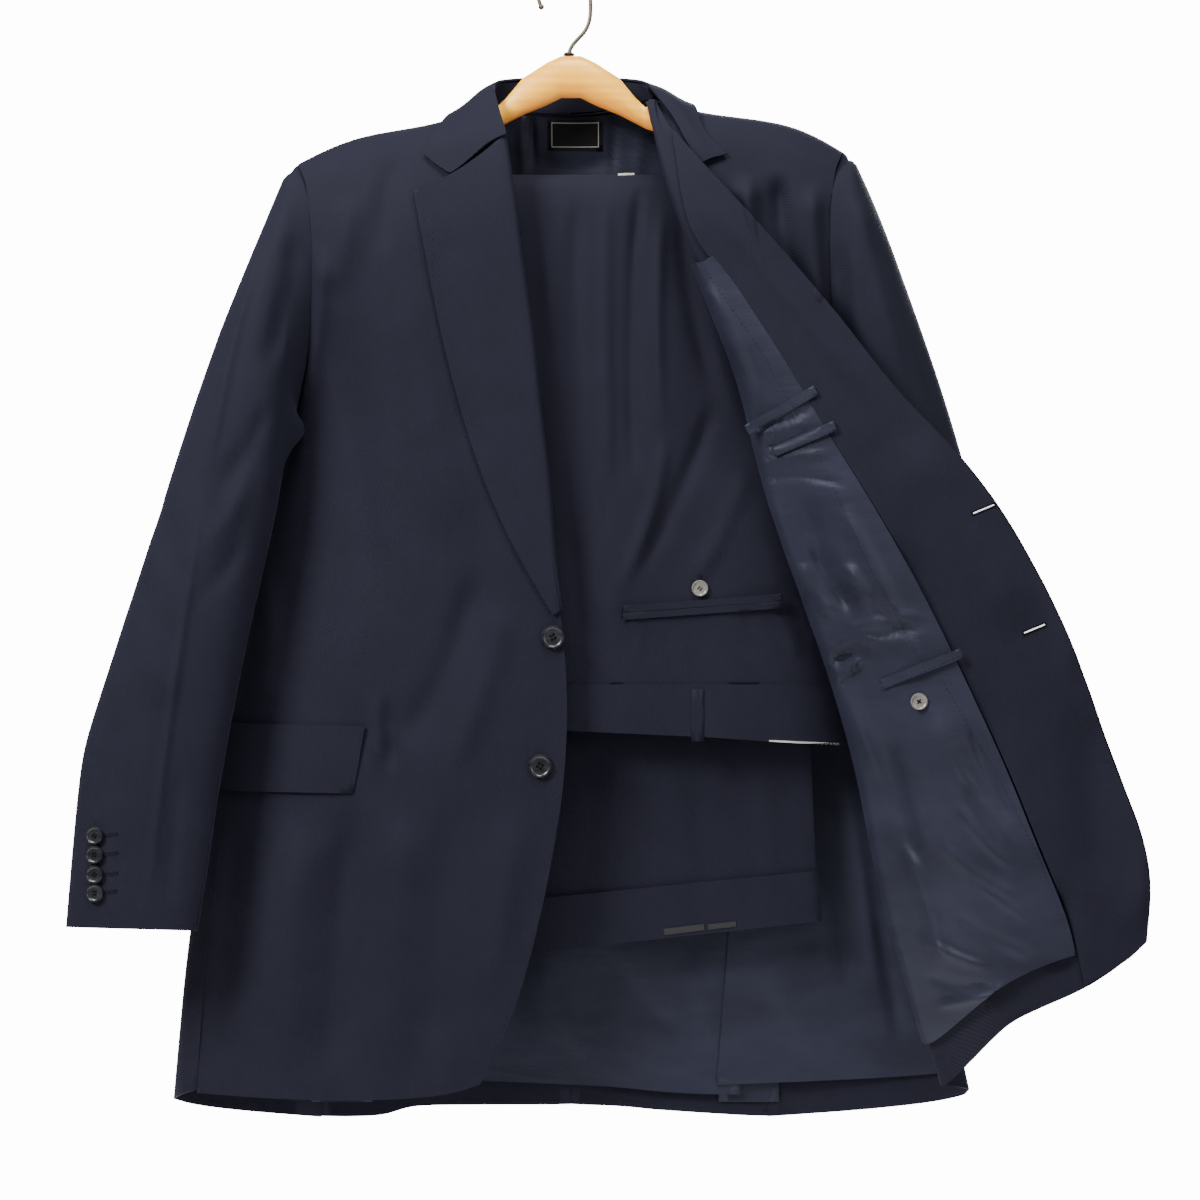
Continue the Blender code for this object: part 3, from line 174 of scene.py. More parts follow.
TROUSER_CREASES = (
    (642, 172, 632, 320, 636, 500, 7, -4.2),
    (606, 186, 606, 330, 609, 520, 8, 3.2),
    (664, 190, 657, 320, 664, 440, 7, 3.6),
    (664, 430, 652, 508, 616, 600, 8, 3.8),
    (716, 396, 686, 478, 634, 584, 9, -4.0),
    (700, 215, 716, 340, 748, 448, 13, 3.2),
    (680, 200, 690, 300, 716, 396, 8, -2.6),
    (750, 460, 722, 530, 690, 588, 10, 2.8),
    (578, 190, 575, 300, 578, 480, 9, -2.4),
    (545, 220, 552, 340, 560, 520, 12, 2.2),
    (570, 520, 580, 590, 578, 650, 12, -2.0),
    (762, 596, 784, 630, 800, 662, 6, 2.6),
    (786, 596, 798, 624, 806, 646, 4.5, -2.0),
    (742, 606, 750, 632, 758, 656, 8, -1.2),
    (634, 606, 638, 634, 640, 664, 8, 1.4),
)
TROUSER_SEAMS = (
    (606, 320, 606, 500, 607, 676, 2.0, -1.1),
    (668, 622, 669, 650, 670, 676, 1.6, -0.9),
)
FALL_CREASES = (
    (612, 752, 606, 820, 600, 910, 16, 1.6),
    (690, 760, 700, 830, 702, 920, 18, -1.8),
    (762, 752, 768, 830, 766, 915, 14, 1.5),
)
BACK_CREASES = (
    (571, 120, 571, 560, 571, 1098, 2.2, -1.3),
    (470, 210, 440, 420, 410, 700, 26, 4.0),
    (700, 210, 720, 420, 742, 700, 26, 4.0),
    (520, 250, 500, 430, 505, 600, 18, -2.6),
    (640, 250, 650, 430, 640, 620, 18, -2.6),
    (450, 640, 460, 800, 470, 1090, 26, -3.4),
    (505, 660, 515, 820, 520, 1090, 22, 3.4),
    (640, 640, 636, 800, 630, 1090, 24, -3.4),
    (700, 660, 690, 820, 690, 1090, 22, 3.2),
    (400, 300, 372, 430, 350, 560, 12, -3.4),
    (770, 300, 790, 430, 800, 560, 12, -3.4),
    (530, 150, 571, 168, 620, 150, 9, 1.8),
)
INSIDE_CREASES = (
    (533, 112, 533, 140, 534, 175, 2.6, -3.2),
    (613, 112, 613, 140, 612, 175, 2.6, -3.2),
    (640, 120, 640, 150, 636, 190, 5, 2.0),
    (520, 120, 522, 150, 524, 190, 4, 1.6),
    (530, 960, 560, 1010, 600, 1070, 14, 2.0),
    (600, 950, 640, 1000, 690, 1060, 14, -2.0),
    (680, 950, 700, 1000, 712, 1060, 9, 1.6),
    (760, 950, 790, 1010, 820, 1060, 16, 2.2),
    (820, 800, 836, 900, 850, 1010, 12, -2.6),
    (846, 760, 862, 880, 880, 1020, 10, 2.4),
    (876, 900, 890, 980, 900, 1050, 9, -2.2),
)


def colour(name, description, default):
    return bpy.props.FloatVectorProperty(name=name, description=description, subtype="COLOR", default=default,
                                         min=0, max=1)


def distance(name, description, default, least, most):
    return bpy.props.FloatProperty(name=name, description=description, default=default, min=least, max=most,
                                   subtype="DISTANCE", unit="LENGTH")


class CLOTH_PG_settings(bpy.types.PropertyGroup):
    wool_colour: colour("Worsted", "Colour of the suit's outer cloth", (0.0060, 0.0061, 0.0105))
    lining_colour: colour("Lining", "Colour of the twill lining", (0.0108, 0.0111, 0.0190))
    weave: distance("Weave", "Distance between two ribs of the twill", 0.0011, 0.0004, 0.004)
    drape: bpy.props.FloatProperty(
        name="Drape", description="How much of each soft fold is pressed into the cloth",
        default=1.9, min=0, max=4)
    smooth: bpy.props.IntProperty(
        name="Smoothness", description="Most subdivision that a panel gets", default=4, min=1, max=4)


class STITCH_PG_settings(bpy.types.PropertyGroup):
    thread: distance("Thread", "Thickness of the sewing thread", 0.00042, 0.0001, 0.002)


class HARD_PG_settings(bpy.types.PropertyGroup):
    wood_colour: colour("Beech", "Colour of the varnished hanger", (0.78, 0.36, 0.016))
    horn_colour: colour("Horn", "Colour of the jacket's buttons", (0.0050, 0.0054, 0.0072))
    pearl_colour: colour("Pearl", "Colour of the pocket buttons", (0.125, 0.118, 0.105))
    wire: distance("Hook wire", "Thickness of the hook's wire", 0.0034, 0.001, 0.006)


class STAGE_PG_settings(bpy.types.PropertyGroup):
    light: bpy.props.FloatProperty(
        name="Light", description="Strength of the studio lights", default=1.0, min=0, max=5)
    floor_drop: distance("Floor", "Height of the floor below the hook", -1.45, -5, -1)


def settings(name):
    return getattr(bpy.context.scene, name)


def placed(name, data):
    """An object of some data, in the scene."""
    made = bpy.data.objects.new(name, data)
    bpy.context.scene.collection.objects.link(made)
    return made


def finished(mesh, name, *slots):
    """A bmesh as plain mesh data, in the looks of the slots."""
    data = bpy.data.meshes.new(name)
    mesh.to_mesh(data)
    mesh.free()
    for slot in slots:
        data.materials.append(look(slot))
    return data


def search_tree(meshes):
    """One search tree over several meshes."""
    points, faces = [], []
    for data in meshes:
        start = len(points)
        points += [vert.co.copy() for vert in data.vertices]
        faces += [[start + index for index in face.vertices] for face in data.polygons]
    return BVHTree.FromPolygons(points, faces)


# Shader sums

def sum_of(operation, backwards=False):
    """An operator of Wire, which adds a maths node to the material."""
    def made(wire, other):
        first, second = (other, wire) if backwards else (wire, other)
        return wire.recipe.sum(operation, first, second)
    return made


class Wire:
    """A node socket that takes part in sums as a number does."""

    def __init__(self, recipe, socket):
        self.recipe = recipe
        self.socket = socket

    __add__ = sum_of("ADD")
    __radd__ = sum_of("ADD", True)
    __sub__ = sum_of("SUBTRACT")
    __rsub__ = sum_of("SUBTRACT", True)
    __mul__ = sum_of("MULTIPLY")
    __rmul__ = sum_of("MULTIPLY", True)
    __lt__ = sum_of("LESS_THAN")
    __gt__ = sum_of("GREATER_THAN")


class Recipe:
    """A material and its nodes."""

    def __init__(self, name, colour, roughness, metallic=0.0, **constants):
        self.material = bpy.data.materials.new(name)
        self.material.use_nodes = True
        self.tree = self.material.node_tree
        self.shader = self.tree.nodes["Principled BSDF"]
        self.material.diffuse_color = (*colour, 1)
        self.set("Base Color", (*colour, 1))
        self.set("Roughness", roughness)
        self.set("Metallic", metallic)
        for key, value in constants.items():
            self.set(key.replace("_", " ").title().replace("Ior", "IOR"), value)

    def add(self, kind, options, inputs, output=0):
        node = self.tree.nodes.new(kind)
        for key, value in options.items():
            if key == "stops":
                elements = node.color_ramp.elements
                while len(elements) < len(value):
                    elements.new(0.5)
                for element, (place, shade) in zip(elements, value):
                    element.position = place
                    element.color = (shade, shade, shade, 1)
            else:
                setattr(node, key, value)
        for key, value in inputs.items():
            self.join(node.inputs[key], value)
        return Wire(self, node.outputs[output])

    def join(self, socket, value):
        if isinstance(value, Wire):
            self.tree.links.new(value.socket, socket)
        else:
            socket.default_value = value

    def set(self, key, value):
        self.join(self.shader.inputs[key], value)

    def sum(self, operation, *values, clamp=False):
        options = {"operation": operation, "use_clamp": clamp}
        return self.add("ShaderNodeMath", options, dict(enumerate(values)))

    def place(self):
        return self.add("ShaderNodeTexCoord", {}, {}, "Object")

    def split(self, vector):
        node = self.tree.nodes.new("ShaderNodeSeparateXYZ")
        self.join(node.inputs[0], vector)
        return [Wire(self, socket) for socket in node.outputs]

    def stretch(self, vector, scale, turn=(0, 0, 0)):
        return self.add("ShaderNodeMapping", {}, {"Vector": vector, "Rotation": turn, "Scale": scale})

    def noise(self, vector, scale, detail=3.0, rough=0.5):
        return self.add("ShaderNodeTexNoise", {}, {"Vector": vector, "Scale": scale, "Detail": detail,
                                                   "Roughness": rough})

    def wave(self, vector, scale, distortion=0.0, direction="DIAGONAL"):
        return self.add("ShaderNodeTexWave", {"wave_type": "BANDS", "bands_direction": direction},
                        {"Vector": vector, "Scale": scale, "Distortion": distortion, "Detail": 1.0},
                        "Fac")

    def ramp(self, value, *stops):
        return self.add("ShaderNodeValToRGB", {"stops": stops}, {0: value})

    def blend(self, share, first, second):
        first, second = ((*c, 1) if isinstance(c, tuple) and len(c) == 3 else c for c in (first, second))
        return self.add("ShaderNodeMix", {"data_type": "RGBA"}, {0: share, 6: first, 7: second}, 2)

    def bump(self, height, strength, distance, under=None):
        inputs = {"Height": height, "Strength": strength, "Distance": distance}
        if under is not None:
            inputs["Normal"] = under
        return self.add("ShaderNodeBump", {}, inputs)


def tinted(colour, share):
    return tuple(min(1.0, max(0.0, channel * share)) for channel in colour)


def cloth_recipe(name, colour, rib, roughness, sheen, relief, tint):
    """A twill cloth: ribs on the diagonal, single threads across them, and a slightly uneven dye."""
    made = Recipe(name, colour, roughness, sheen_weight=sheen, sheen_roughness=0.42, specular_ior_level=0.10)
    made.set("Sheen Tint", (*tint, 1))
    made.set("Specular Tint", (0.80, 0.78, 1.0, 1))
    place = made.place()
    scale = math.tau / (20 * rib)
    ribs = made.wave(made.stretch(place, (1, 0.9, 1)), scale, 0.6)
    threads = made.wave(made.stretch(place, (1, 0.9, -1)), scale * 1.7, 0.8)
    fibre = made.noise(place, 1400, 2.0)
    dye = made.noise(place, 26, 4.0, 0.6)
    slub = made.noise(made.stretch(place, (900, 900, 40)), 1.0, 2.0)
    mottle = made.ramp(dye * 0.6 + slub * 0.25 + fibre * 0.15, (0.3, 0.0), (0.7, 1.0))
    shade = made.blend(mottle, tinted(colour, 0.80), tinted(colour, 1.26))
    made.set("Base Color", made.blend(ribs * 0.35, shade, (*tinted(colour, 1.9), 1)))
    made.set("Roughness", roughness - 0.10 * ribs + 0.10 * dye)
    weave = made.bump(ribs * 0.6 + threads * 0.25 + fibre * 0.3, relief, 0.0003)
    made.set("Normal", made.bump(made.noise(place, 90, 3.0, 0.6), 0.05, 0.002, weave))
    return made.material


def wool_look():
    return cloth_recipe("worsted_wool", settings("suit_cloth").wool_colour[:], settings("suit_cloth").weave,
                        0.80, 0.03, 0.28, (0.42, 0.47, 0.80))


def lining_look():
    """A twill satin: finer ribs and a soft shine."""
    colour = settings("suit_cloth").lining_colour[:]
    made = Recipe("twill_lining", colour, 0.5, sheen_weight=0.03, sheen_roughness=0.3,
                  specular_ior_level=0.15, anisotropic=0.3)
    made.set("Sheen Tint", (0.50, 0.58, 1.0, 1))
    made.set("Specular Tint", (0.80, 0.84, 1.0, 1))
    place = made.place()
    ribs = made.wave(made.stretch(place, (1, 0.9, 1)), 420, 0.4)
    patches = made.noise(made.stretch(place, (9, 9, 26), (0, 0.6, 0)), 1.0, 3.0, 0.6)
    fine = made.noise(made.stretch(place, (30, 30, 120), (0, -0.35, 0)), 1.0, 3.0, 0.6)
    mottle = made.ramp(patches, (0.32, 0.0), (0.68, 1.0))
    shade = made.blend(mottle, tinted(colour, 0.82), tinted(colour, 1.35))
    made.set("Base Color", made.blend(ribs * 0.25, shade, (*tinted(colour, 1.8), 1)))
    made.set("Roughness", 0.46 + 0.12 * patches)
    weave = made.bump(ribs, 0.14, 0.0002)
    made.set("Normal", made.bump(fine, 0.15, 0.003, weave))
    return made.material


def plain_look(name, colour, roughness, gloss=0.3):
    """A plain woven cotton, tape or thread."""
    made = Recipe(name, colour, roughness, specular_ior_level=gloss)
    place = made.place()
    across = made.wave(place, 380, 0.5, "X")
    down = made.wave(place, 380, 0.5, "Z")
    dye = made.noise(place, 120, 3.0)
    made.set("Base Color", made.blend(dye, tinted(colour, 0.86), tinted(colour, 1.1)))
    made.set("Normal", made.bump(across * 0.5 + down * 0.5, 0.3, 0.0003))
    return made.material


def pale_look():
    """The waistband's lining: dark twill with a pale cotton end at the right side."""
    made = Recipe("pale_cotton", (0.70, 0.69, 0.66), 0.85, specular_ior_level=0.3)
    place = made.place()
    x, _, _ = made.split(place)
    across = made.wave(place, 380, 0.5, "X")
    ragged = x + 0.006 * made.noise(place, 700, 2.0)
    made.set("Base Color", made.blend(ragged > 0.172, (0.008, 0.009, 0.014),
                                      made.blend(across, (0.62, 0.61, 0.58), (0.78, 0.77, 0.74))))
    made.set("Normal", made.bump(across, 0.3, 0.0003))
    return made.material


def beech_look():
    colour = settings("suit_hard").wood_colour[:]
    made = Recipe("varnished_beech", colour, 0.34, coat_weight=0.15, coat_roughness=0.22,
                  specular_ior_level=0.3)
    place = made.place()
    grain = made.noise(made.stretch(place, (9, 60, 160), (0, 0.05, 0)), 1.0, 5.0, 0.55)
    bands = made.wave(made.stretch(place, (2.2, 3, 30), (0, 0.10, 0)), 1.4, 4.0, "Z")
    flecks = made.noise(made.stretch(place, (160, 900, 900)), 1.0, 2.0)
    speck = made.ramp(flecks, (0.60, 0.0), (0.72, 1.0))
    warm = made.blend(grain * 0.6 + bands * 0.4, tinted(colour, 0.80), tinted(colour, 1.16))
    # Painted shade: faces that turn downward are blended towards a darker, deeper orange, standing in for the
    # shadow under the hanger's edges
    facing = made.add("ShaderNodeNewGeometry", {}, {}, "Normal")
    _, _, up = made.split(facing)
    under = made.sum("MULTIPLY", up, -1.6, clamp=True)
    shade = made.blend(under, warm, (colour[0] * 0.72, colour[1] * 0.50, colour[2] * 0.4, 1))
    made.set("Base Color", made.blend(speck * 0.28, shade, (*tinted(colour, 0.55), 1)))
    made.set("Roughness", 0.30 + 0.16 * grain)
    made.set("Normal", made.bump(grain * 0.6 + speck * 0.4, 0.10, 0.0006))
    return made.material


def steel_look():
    made = Recipe("bright_wire", (0.09, 0.078, 0.055), 0.48, 0.6, specular_ior_level=0.3)
    place = made.place()
    haze = made.noise(place, 140, 4.0, 0.6)
    drawn = made.noise(made.stretch(place, (1500, 1500, 60)), 1.0, 2.0)
    made.set("Base Color", made.blend(haze, (0.06, 0.05, 0.035), (0.12, 0.105, 0.078)))
    made.set("Roughness", 0.40 + 0.16 * haze)
    made.set("Normal", made.bump(drawn, 0.08, 0.0002))
    return made.material


def horn_look():
    colour = settings("suit_hard").horn_colour[:]
    made = Recipe("dark_horn", colour, 0.3, coat_weight=0.12, coat_roughness=0.2, specular_ior_level=0.35)
    place = made.place()
    streaks = made.noise(made.stretch(place, (60, 60, 260), (0.2, 0.7, 0)), 1.0, 4.0, 0.6)
    made.set("Base Color", made.blend(made.ramp(streaks, (0.35, 0.0), (0.75, 1.0)), tinted(colour, 0.6),
                                      tinted(colour, 2.6)))
    made.set("Roughness", 0.24 + 0.18 * streaks)
    made.set("Normal", made.bump(streaks, 0.05, 0.0003))
    return made.material


def pearl_look():
    colour = settings("suit_hard").pearl_colour[:]
    made = Recipe("pale_pearl", colour, 0.26, coat_weight=0.25, coat_roughness=0.12)
    place = made.place()
    swirl = made.noise(place, 210, 4.0, 0.7)
    made.set("Base Color", made.blend(swirl, tinted(colour, 0.66), tinted(colour, 1.3)))
    made.set("Roughness", 0.16 + 0.16 * swirl)
    return made.material


def label_look():
    """Black satin with a thin light border woven in, and no lettering."""
    made = Recipe("woven_label", (0.004, 0.004, 0.005), 0.6, specular_ior_level=0.12)
    low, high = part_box("label")
    middle_x, middle_z = (low[0] + high[0]) / 2, (low[2] + high[2]) / 2
    half_x, half_z = (high[0] - low[0]) / 2, (high[2] - low[2]) / 2
    x, _, z = made.split(made.place())

    def frame_line(inner, width):
        away_x = made.sum("ABSOLUTE", x - middle_x)
        away_z = made.sum("ABSOLUTE", z - middle_z)
        reach = made.sum("MAXIMUM", away_x + (inner - half_x), away_z + (inner - half_z))
        return (reach > 0.0) * (reach < width)

    border = frame_line(0.0032, 0.0007)
    threads = made.wave(made.place(), 420, 0.3, "X")
    woven = border * (0.5 + 0.5 * threads)
    made.set("Base Color", made.blend(woven, (0.004, 0.004, 0.005), (0.36, 0.36, 0.34)))
    made.set("Normal", made.bump(threads, 0.25, 0.0002))
    return made.material


LOOKS = {}


def look(slot):
    makers = {
        "wool": wool_look, "lining": lining_look, "beech": beech_look, "steel": steel_look,
        "dark_button": horn_look, "pearl_button": pearl_look, "label": label_look,
        "pale_lining": pale_look,
        "dark_thread": lambda: plain_look("dark_thread", (0.0035, 0.0036, 0.0052), 0.8, 0.08),
        "brown_thread": lambda: plain_look("brown_thread", (0.030, 0.012, 0.010), 0.7),
        # Painted light: a pale finish that stands for the light showing through a buttonhole's slit
        "painted_slit_light": lambda: plain_look("light_through_hole", (0.80, 0.80, 0.80), 0.9),
        "tape_pale": lambda: plain_look("pale_pocketing", (0.40, 0.38, 0.33), 0.85),
        "tape": lambda: plain_look("heel_tape", (0.011, 0.011, 0.013), 0.8),
    }
    if slot not in LOOKS:
        LOOKS[slot] = makers[slot]()
    return LOOKS[slot]


# Cloth

def pixels(points):
    """The photograph's pixel of each point."""
    place = points / MM
    nearer = (SIGHT + place[:, 1]) / SIGHT
    across = (place[:, 0] - HOOK_SHIFT[0] - SIGHT_MIDDLE[0]) / nearer + SIGHT_MIDDLE[0]
    up = (place[:, 2] - HOOK_SHIFT[1] - SIGHT_MIDDLE[1]) / nearer + SIGHT_MIDDLE[1]
    return np.stack([PIXEL_ZERO[0] + across / PIXEL, PIXEL_ZERO[1] - up / PIXEL], axis=1)


def seen(px, py, depth=0.0):
    """The point that shows at a pixel of the photograph, at a depth in millimetres."""
    nearer = (SIGHT + depth) / SIGHT
    x = ((px - PIXEL_ZERO[0]) * PIXEL - SIGHT_MIDDLE[0]) * nearer + SIGHT_MIDDLE[0] + HOOK_SHIFT[0]
    z = ((PIXEL_ZERO[1] - py) * PIXEL - SIGHT_MIDDLE[1]) * nearer + SIGHT_MIDDLE[1] + HOOK_SHIFT[1]
    return Vector((x, depth, z)) * MM


def crease_heights(spots, creases):
    """How far the creases lift each spot, in millimetres."""
    heights = np.zeros(len(spots))
    steps = np.linspace(0, 1, CREASE_LEGS + 1)[:, None]
    for x0, y0, x1, y1, x2, y2, width, height in creases:
        start, middle, end = np.array((x0, y0)), np.array((x1, y1)), np.array((x2, y2))
        pull = 2 * middle - (start + end) / 2
        line = (1 - steps) ** 2 * start + 2 * steps * (1 - steps) * pull + steps ** 2 * end
        low, high = line.min(axis=0) - CREASE_REACH * width, line.max(axis=0) + CREASE_REACH * width
        near = np.flatnonzero(np.all((spots > low) & (spots < high), axis=1))
        if not len(near):
            continue
        here = spots[near]
        best = np.full(len(near), 1e9)
        along = np.zeros(len(near))
        for step in range(CREASE_LEGS):
            leg = line[step + 1] - line[step]
            share = np.clip((here - line[step]) @ leg / (leg @ leg), 0, 1)
            away = np.linalg.norm(here - line[step] - share[:, None] * leg, axis=1)
            closer = away < best
            best = np.where(closer, away, best)
            along = np.where(closer, (step + share) / CREASE_LEGS, along)
        ends = np.clip(np.minimum(along, 1 - along) / CREASE_ENDS, 0, 1)
        fade = ends * ends * (3 - 2 * ends)
        wander = 1 + CREASE_WANDER * np.sin(7 * along + x0)
        heights[near] += height * fade * wander * np.exp(-CREASE_FALL * (best / width) ** 2)
    return heights


def unevenness(points):
    """The small hollows and swells of hanging cloth, in millimetres."""
    x, _, z = points.T
    broad = np.sin(31 * x + 9 * z + 1.1) * np.sin(17 * z - 8 * x + 0.4)
    small = np.sin(76 * x - 31 * z + 2.0) * np.sin(49 * z + 22 * x)
    fine = np.sin(140 * x + 61 * z) * np.sin(118 * z - 47 * x + 0.7)
    return 0.42 * broad + 0.20 * small + 0.09 * fine


def panel_mesh(node):
    """A node's mesh joined into quads, with its sharp edges marked."""
    mesh = bmesh.new()
    mesh.from_mesh(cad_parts[node].data)
    bmesh.ops.remove_doubles(mesh, verts=mesh.verts[:], dist=2e-5)
    bmesh.ops.join_triangles(mesh, faces=mesh.faces[:], angle_face_threshold=math.radians(JOIN_ANGLE),
                             angle_shape_threshold=math.radians(JOIN_SKEW))
    mesh.verts.layers.float.new("crease_vert")
    sharp = mesh.edges.layers.float.new("crease_edge")
    for edge in mesh.edges:
        if len(edge.link_faces) != 2 or edge.calc_face_angle(0) > math.radians(EDGE_ANGLE):
            edge[sharp] = 1
    return mesh, sharp


def rim_pushes(mesh, sharp):
    """The outward direction of each point on the thin edge between a wall's two sides."""
    found = []
    known = set()
    for face in mesh.faces:
        if face in known:
            continue
        known.add(face)
        group, ahead = [], [face]
        while ahead:
            here = ahead.pop()
            group.append(here)
            for edge in here.edges:
                if edge[sharp] > 0.5:
                    continue
                for other in edge.link_faces:
                    if other not in known:
                        known.add(other)
                        ahead.append(other)
        found.append((sum(item.calc_area() for item in group), group))
    found.sort(key=lambda item: -item[0])
    pushes = {}
    if len(found) < 3 or found[1][0] < 0.3 * found[0][0]:
        return pushes
    for _, group in found[2:]:
        for face in group:
            for vert in face.verts:
                pushes[vert] = pushes.get(vert, Vector()) + face.normal * face.calc_area()
    return {vert: push.normalized() for vert, push in pushes.items() if push.length > 0}


def pin_corners(mesh, sharp, rim):
    """Keeps the points of lapels, collars and flaps sharp when the mesh is smoothed."""
    held = mesh.verts.layers.float["crease_vert"]
    for vert in rim:
        legs = [(edge.other_vert(vert).co - vert.co).normalized() for edge in vert.link_edges
                if edge[sharp] > 0.5 and edge.other_vert(vert) in rim and edge.calc_length() > 0.0035]
        if len(legs) == 2 and legs[0].dot(legs[1]) > -0.80:
            vert[held] = 1


def closed_seams(mesh, sharp, neighbours, reach_out):
    """Closes the hairline between two pieces, and brings a sleeve's head up to its armhole."""
    pushes = rim_pushes(mesh, sharp)
    pin_corners(mesh, sharp, pushes)
    tree = search_tree(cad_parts[node].data for node in neighbours) if neighbours else None
    for vert, push in pushes.items():
        if tree is not None:
            spot, _, _, away = tree.find_nearest(vert.co)
            if spot is not None and SEAM_NEAR < away < SEAM_FAR:
                reach = spot - vert.co
                if reach.normalized().dot(push) > 0.25:
                    vert.co = spot + reach.normalized() * SEAM_OVERLAP
                    continue
        vert.co += push * reach_out * MM


def shown(name, mesh_data, slot, *replaced):
    """Adds a finished piece, which rides on the suit and takes the place of some solids."""
    piece = placed(name, mesh_data)
    if not mesh_data.materials:
        mesh_data.materials.append(look(slot))
    mesh_data.shade_smooth()
    mesh_data.set_sharp_from_angle(angle=math.radians(SHARP_ANGLE))
    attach(piece, "root")
    if replaced:
        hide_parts(*replaced)
    return piece


def applied(piece):
    """A plain mesh of an object with its modifiers in it."""
    graph = bpy.context.evaluated_depsgraph_get()
    data = bpy.data.meshes.new_from_object(piece.evaluated_get(graph))
    old = piece.data
    bpy.data.objects.remove(piece)
    if old.users == 0:
        bpy.data.meshes.remove(old) if isinstance(old, bpy.types.Mesh) else bpy.data.curves.remove(old)
    return data


def dress(node, slot, flat, creases=(), level=2, held="hung", rests_on=("hanger_wood",), toward=-1.0,
          neighbours=(), reach_out=0.24, lift=0.0, share=1.0):
    """Lays smooth cloth with its creases over one solid.

    The creases are pairs: a table, and what says where it counts. Toward is the side they rise to.
    """
    mesh, sharp = panel_mesh(node)
    closed_seams(mesh, sharp, neighbours, reach_out)
    holder = placed(node + "_rough", finished(mesh, node + "_rough"))
    smooth = holder.modifiers.new("smooth", "SUBSURF")
    smooth.levels = smooth.render_levels = min(level, settings("suit_cloth").smooth)
    smooth.boundary_smooth = "PRESERVE_CORNERS"
    data = applied(holder)
    data.name = node + "_cloth"
    points = np.zeros(len(data.vertices) * 3)
    data.vertices.foreach_get("co", points)
    points = points.reshape(-1, 3)
    points[:, 1] -= (unevenness(points) * UNEVEN_SHARE + lift) * MM
    for table, where in creases:
        rise = crease_heights(pixels(points), table) * settings("suit_cloth").drape * share * MM
        points[:, 1] += toward * rise * where(points)
    data.vertices.foreach_set("co", points.ravel())
    data.materials.clear()
    data.update()
    piece = shown(node + "_cloth", data, slot, node)


def everywhere(points):
    return np.ones(len(points))


def in_front(points):
    return (points[:, 1] < 0).astype(float)


def behind(points):
    return (points[:, 1] >= 0).astype(float)


def backward(points):
    """The folds of the back, pressed into what lies inside it."""
    return -everywhere(points)


def turned_part(points):
    """1 on the part of the open front that is turned back, 0 on the part that still hangs."""
    return np.clip((-0.040 - points[:, 1]) / 0.012, 0, 1)


def hanging_part(points):
    return 1 - turned_part(points)


# Buttons

def disc_place(node):
    """Centre, axis, across, radius and thickness of a button's solid."""
    points = np.array([vert.co[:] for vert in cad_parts[node].data.vertices])
    centre = (points.min(axis=0) + points.max(axis=0)) / 2
    _, _, axes = np.linalg.svd(points - points.mean(axis=0), full_matrices=False)
    axis = axes[2]
    if axis[1] > 0:
        axis = -axis
    along = (points - centre) @ axis
    across = np.linalg.norm((points - centre) - along[:, None] * axis, axis=1)
    return Vector(centre), Vector(axis), float(across.max()), float(along.max() - along.min())


def lathe(mesh, profile, steps):
    """Turns a profile of (radius, height) pairs round Z, closed at both poles."""
    rings = []
    for radius, height in profile:
        turns = [math.tau * step / steps for step in range(steps if radius > 0 else 1)]
        rings.append([mesh.verts.new((radius * math.cos(turn), radius * math.sin(turn), height))
                      for turn in turns])
    for lower, upper in zip(rings, rings[1:]):
        for step in range(steps):
            after = (step + 1) % steps
            corners = [lower[step % len(lower)], lower[after % len(lower)],
                       upper[after % len(upper)], upper[step % len(upper)]]
            unlike = [vert for index, vert in enumerate(corners) if vert not in corners[:index]]
            if len(unlike) > 2:
                mesh.faces.new(unlike)


def tube(mesh, path, radius, steps):
    """A closed round thread or wire along a path."""
    path = [Vector(point) for point in path]
    rings = []
    side = None
    for index, point in enumerate(path):
        ahead = (path[min(index + 1, len(path) - 1)] - path[max(index - 1, 0)]).normalized()
        if side is None:
            side = ahead.orthogonal().normalized()
        side = (side - ahead * side.dot(ahead)).normalized()
        other = ahead.cross(side)
        rings.append([mesh.verts.new(point + radius * (math.cos(math.tau * step / steps) * side
                                                       + math.sin(math.tau * step / steps) * other))
                      for step in range(steps)])
    for lower, upper in zip(rings, rings[1:]):
        for step in range(steps):
            after = (step + 1) % steps
            mesh.faces.new((lower[step], lower[after], upper[after], upper[step]))
    mesh.faces.new(rings[0][::-1])
    mesh.faces.new(rings[-1])


# From the middle of the back to the middle of the face: shares of the radius and of half the thickness
BUTTON_PROFILE = ((0, -1), (0.70, -1), (0.93, -0.6), (1, 0), (0.985, 0.55), (0.93, 1), (0.86, 1),
                  (0.80, 0.55), (0.66, 0.25), (0.50, 0.22), (0, 0.22))


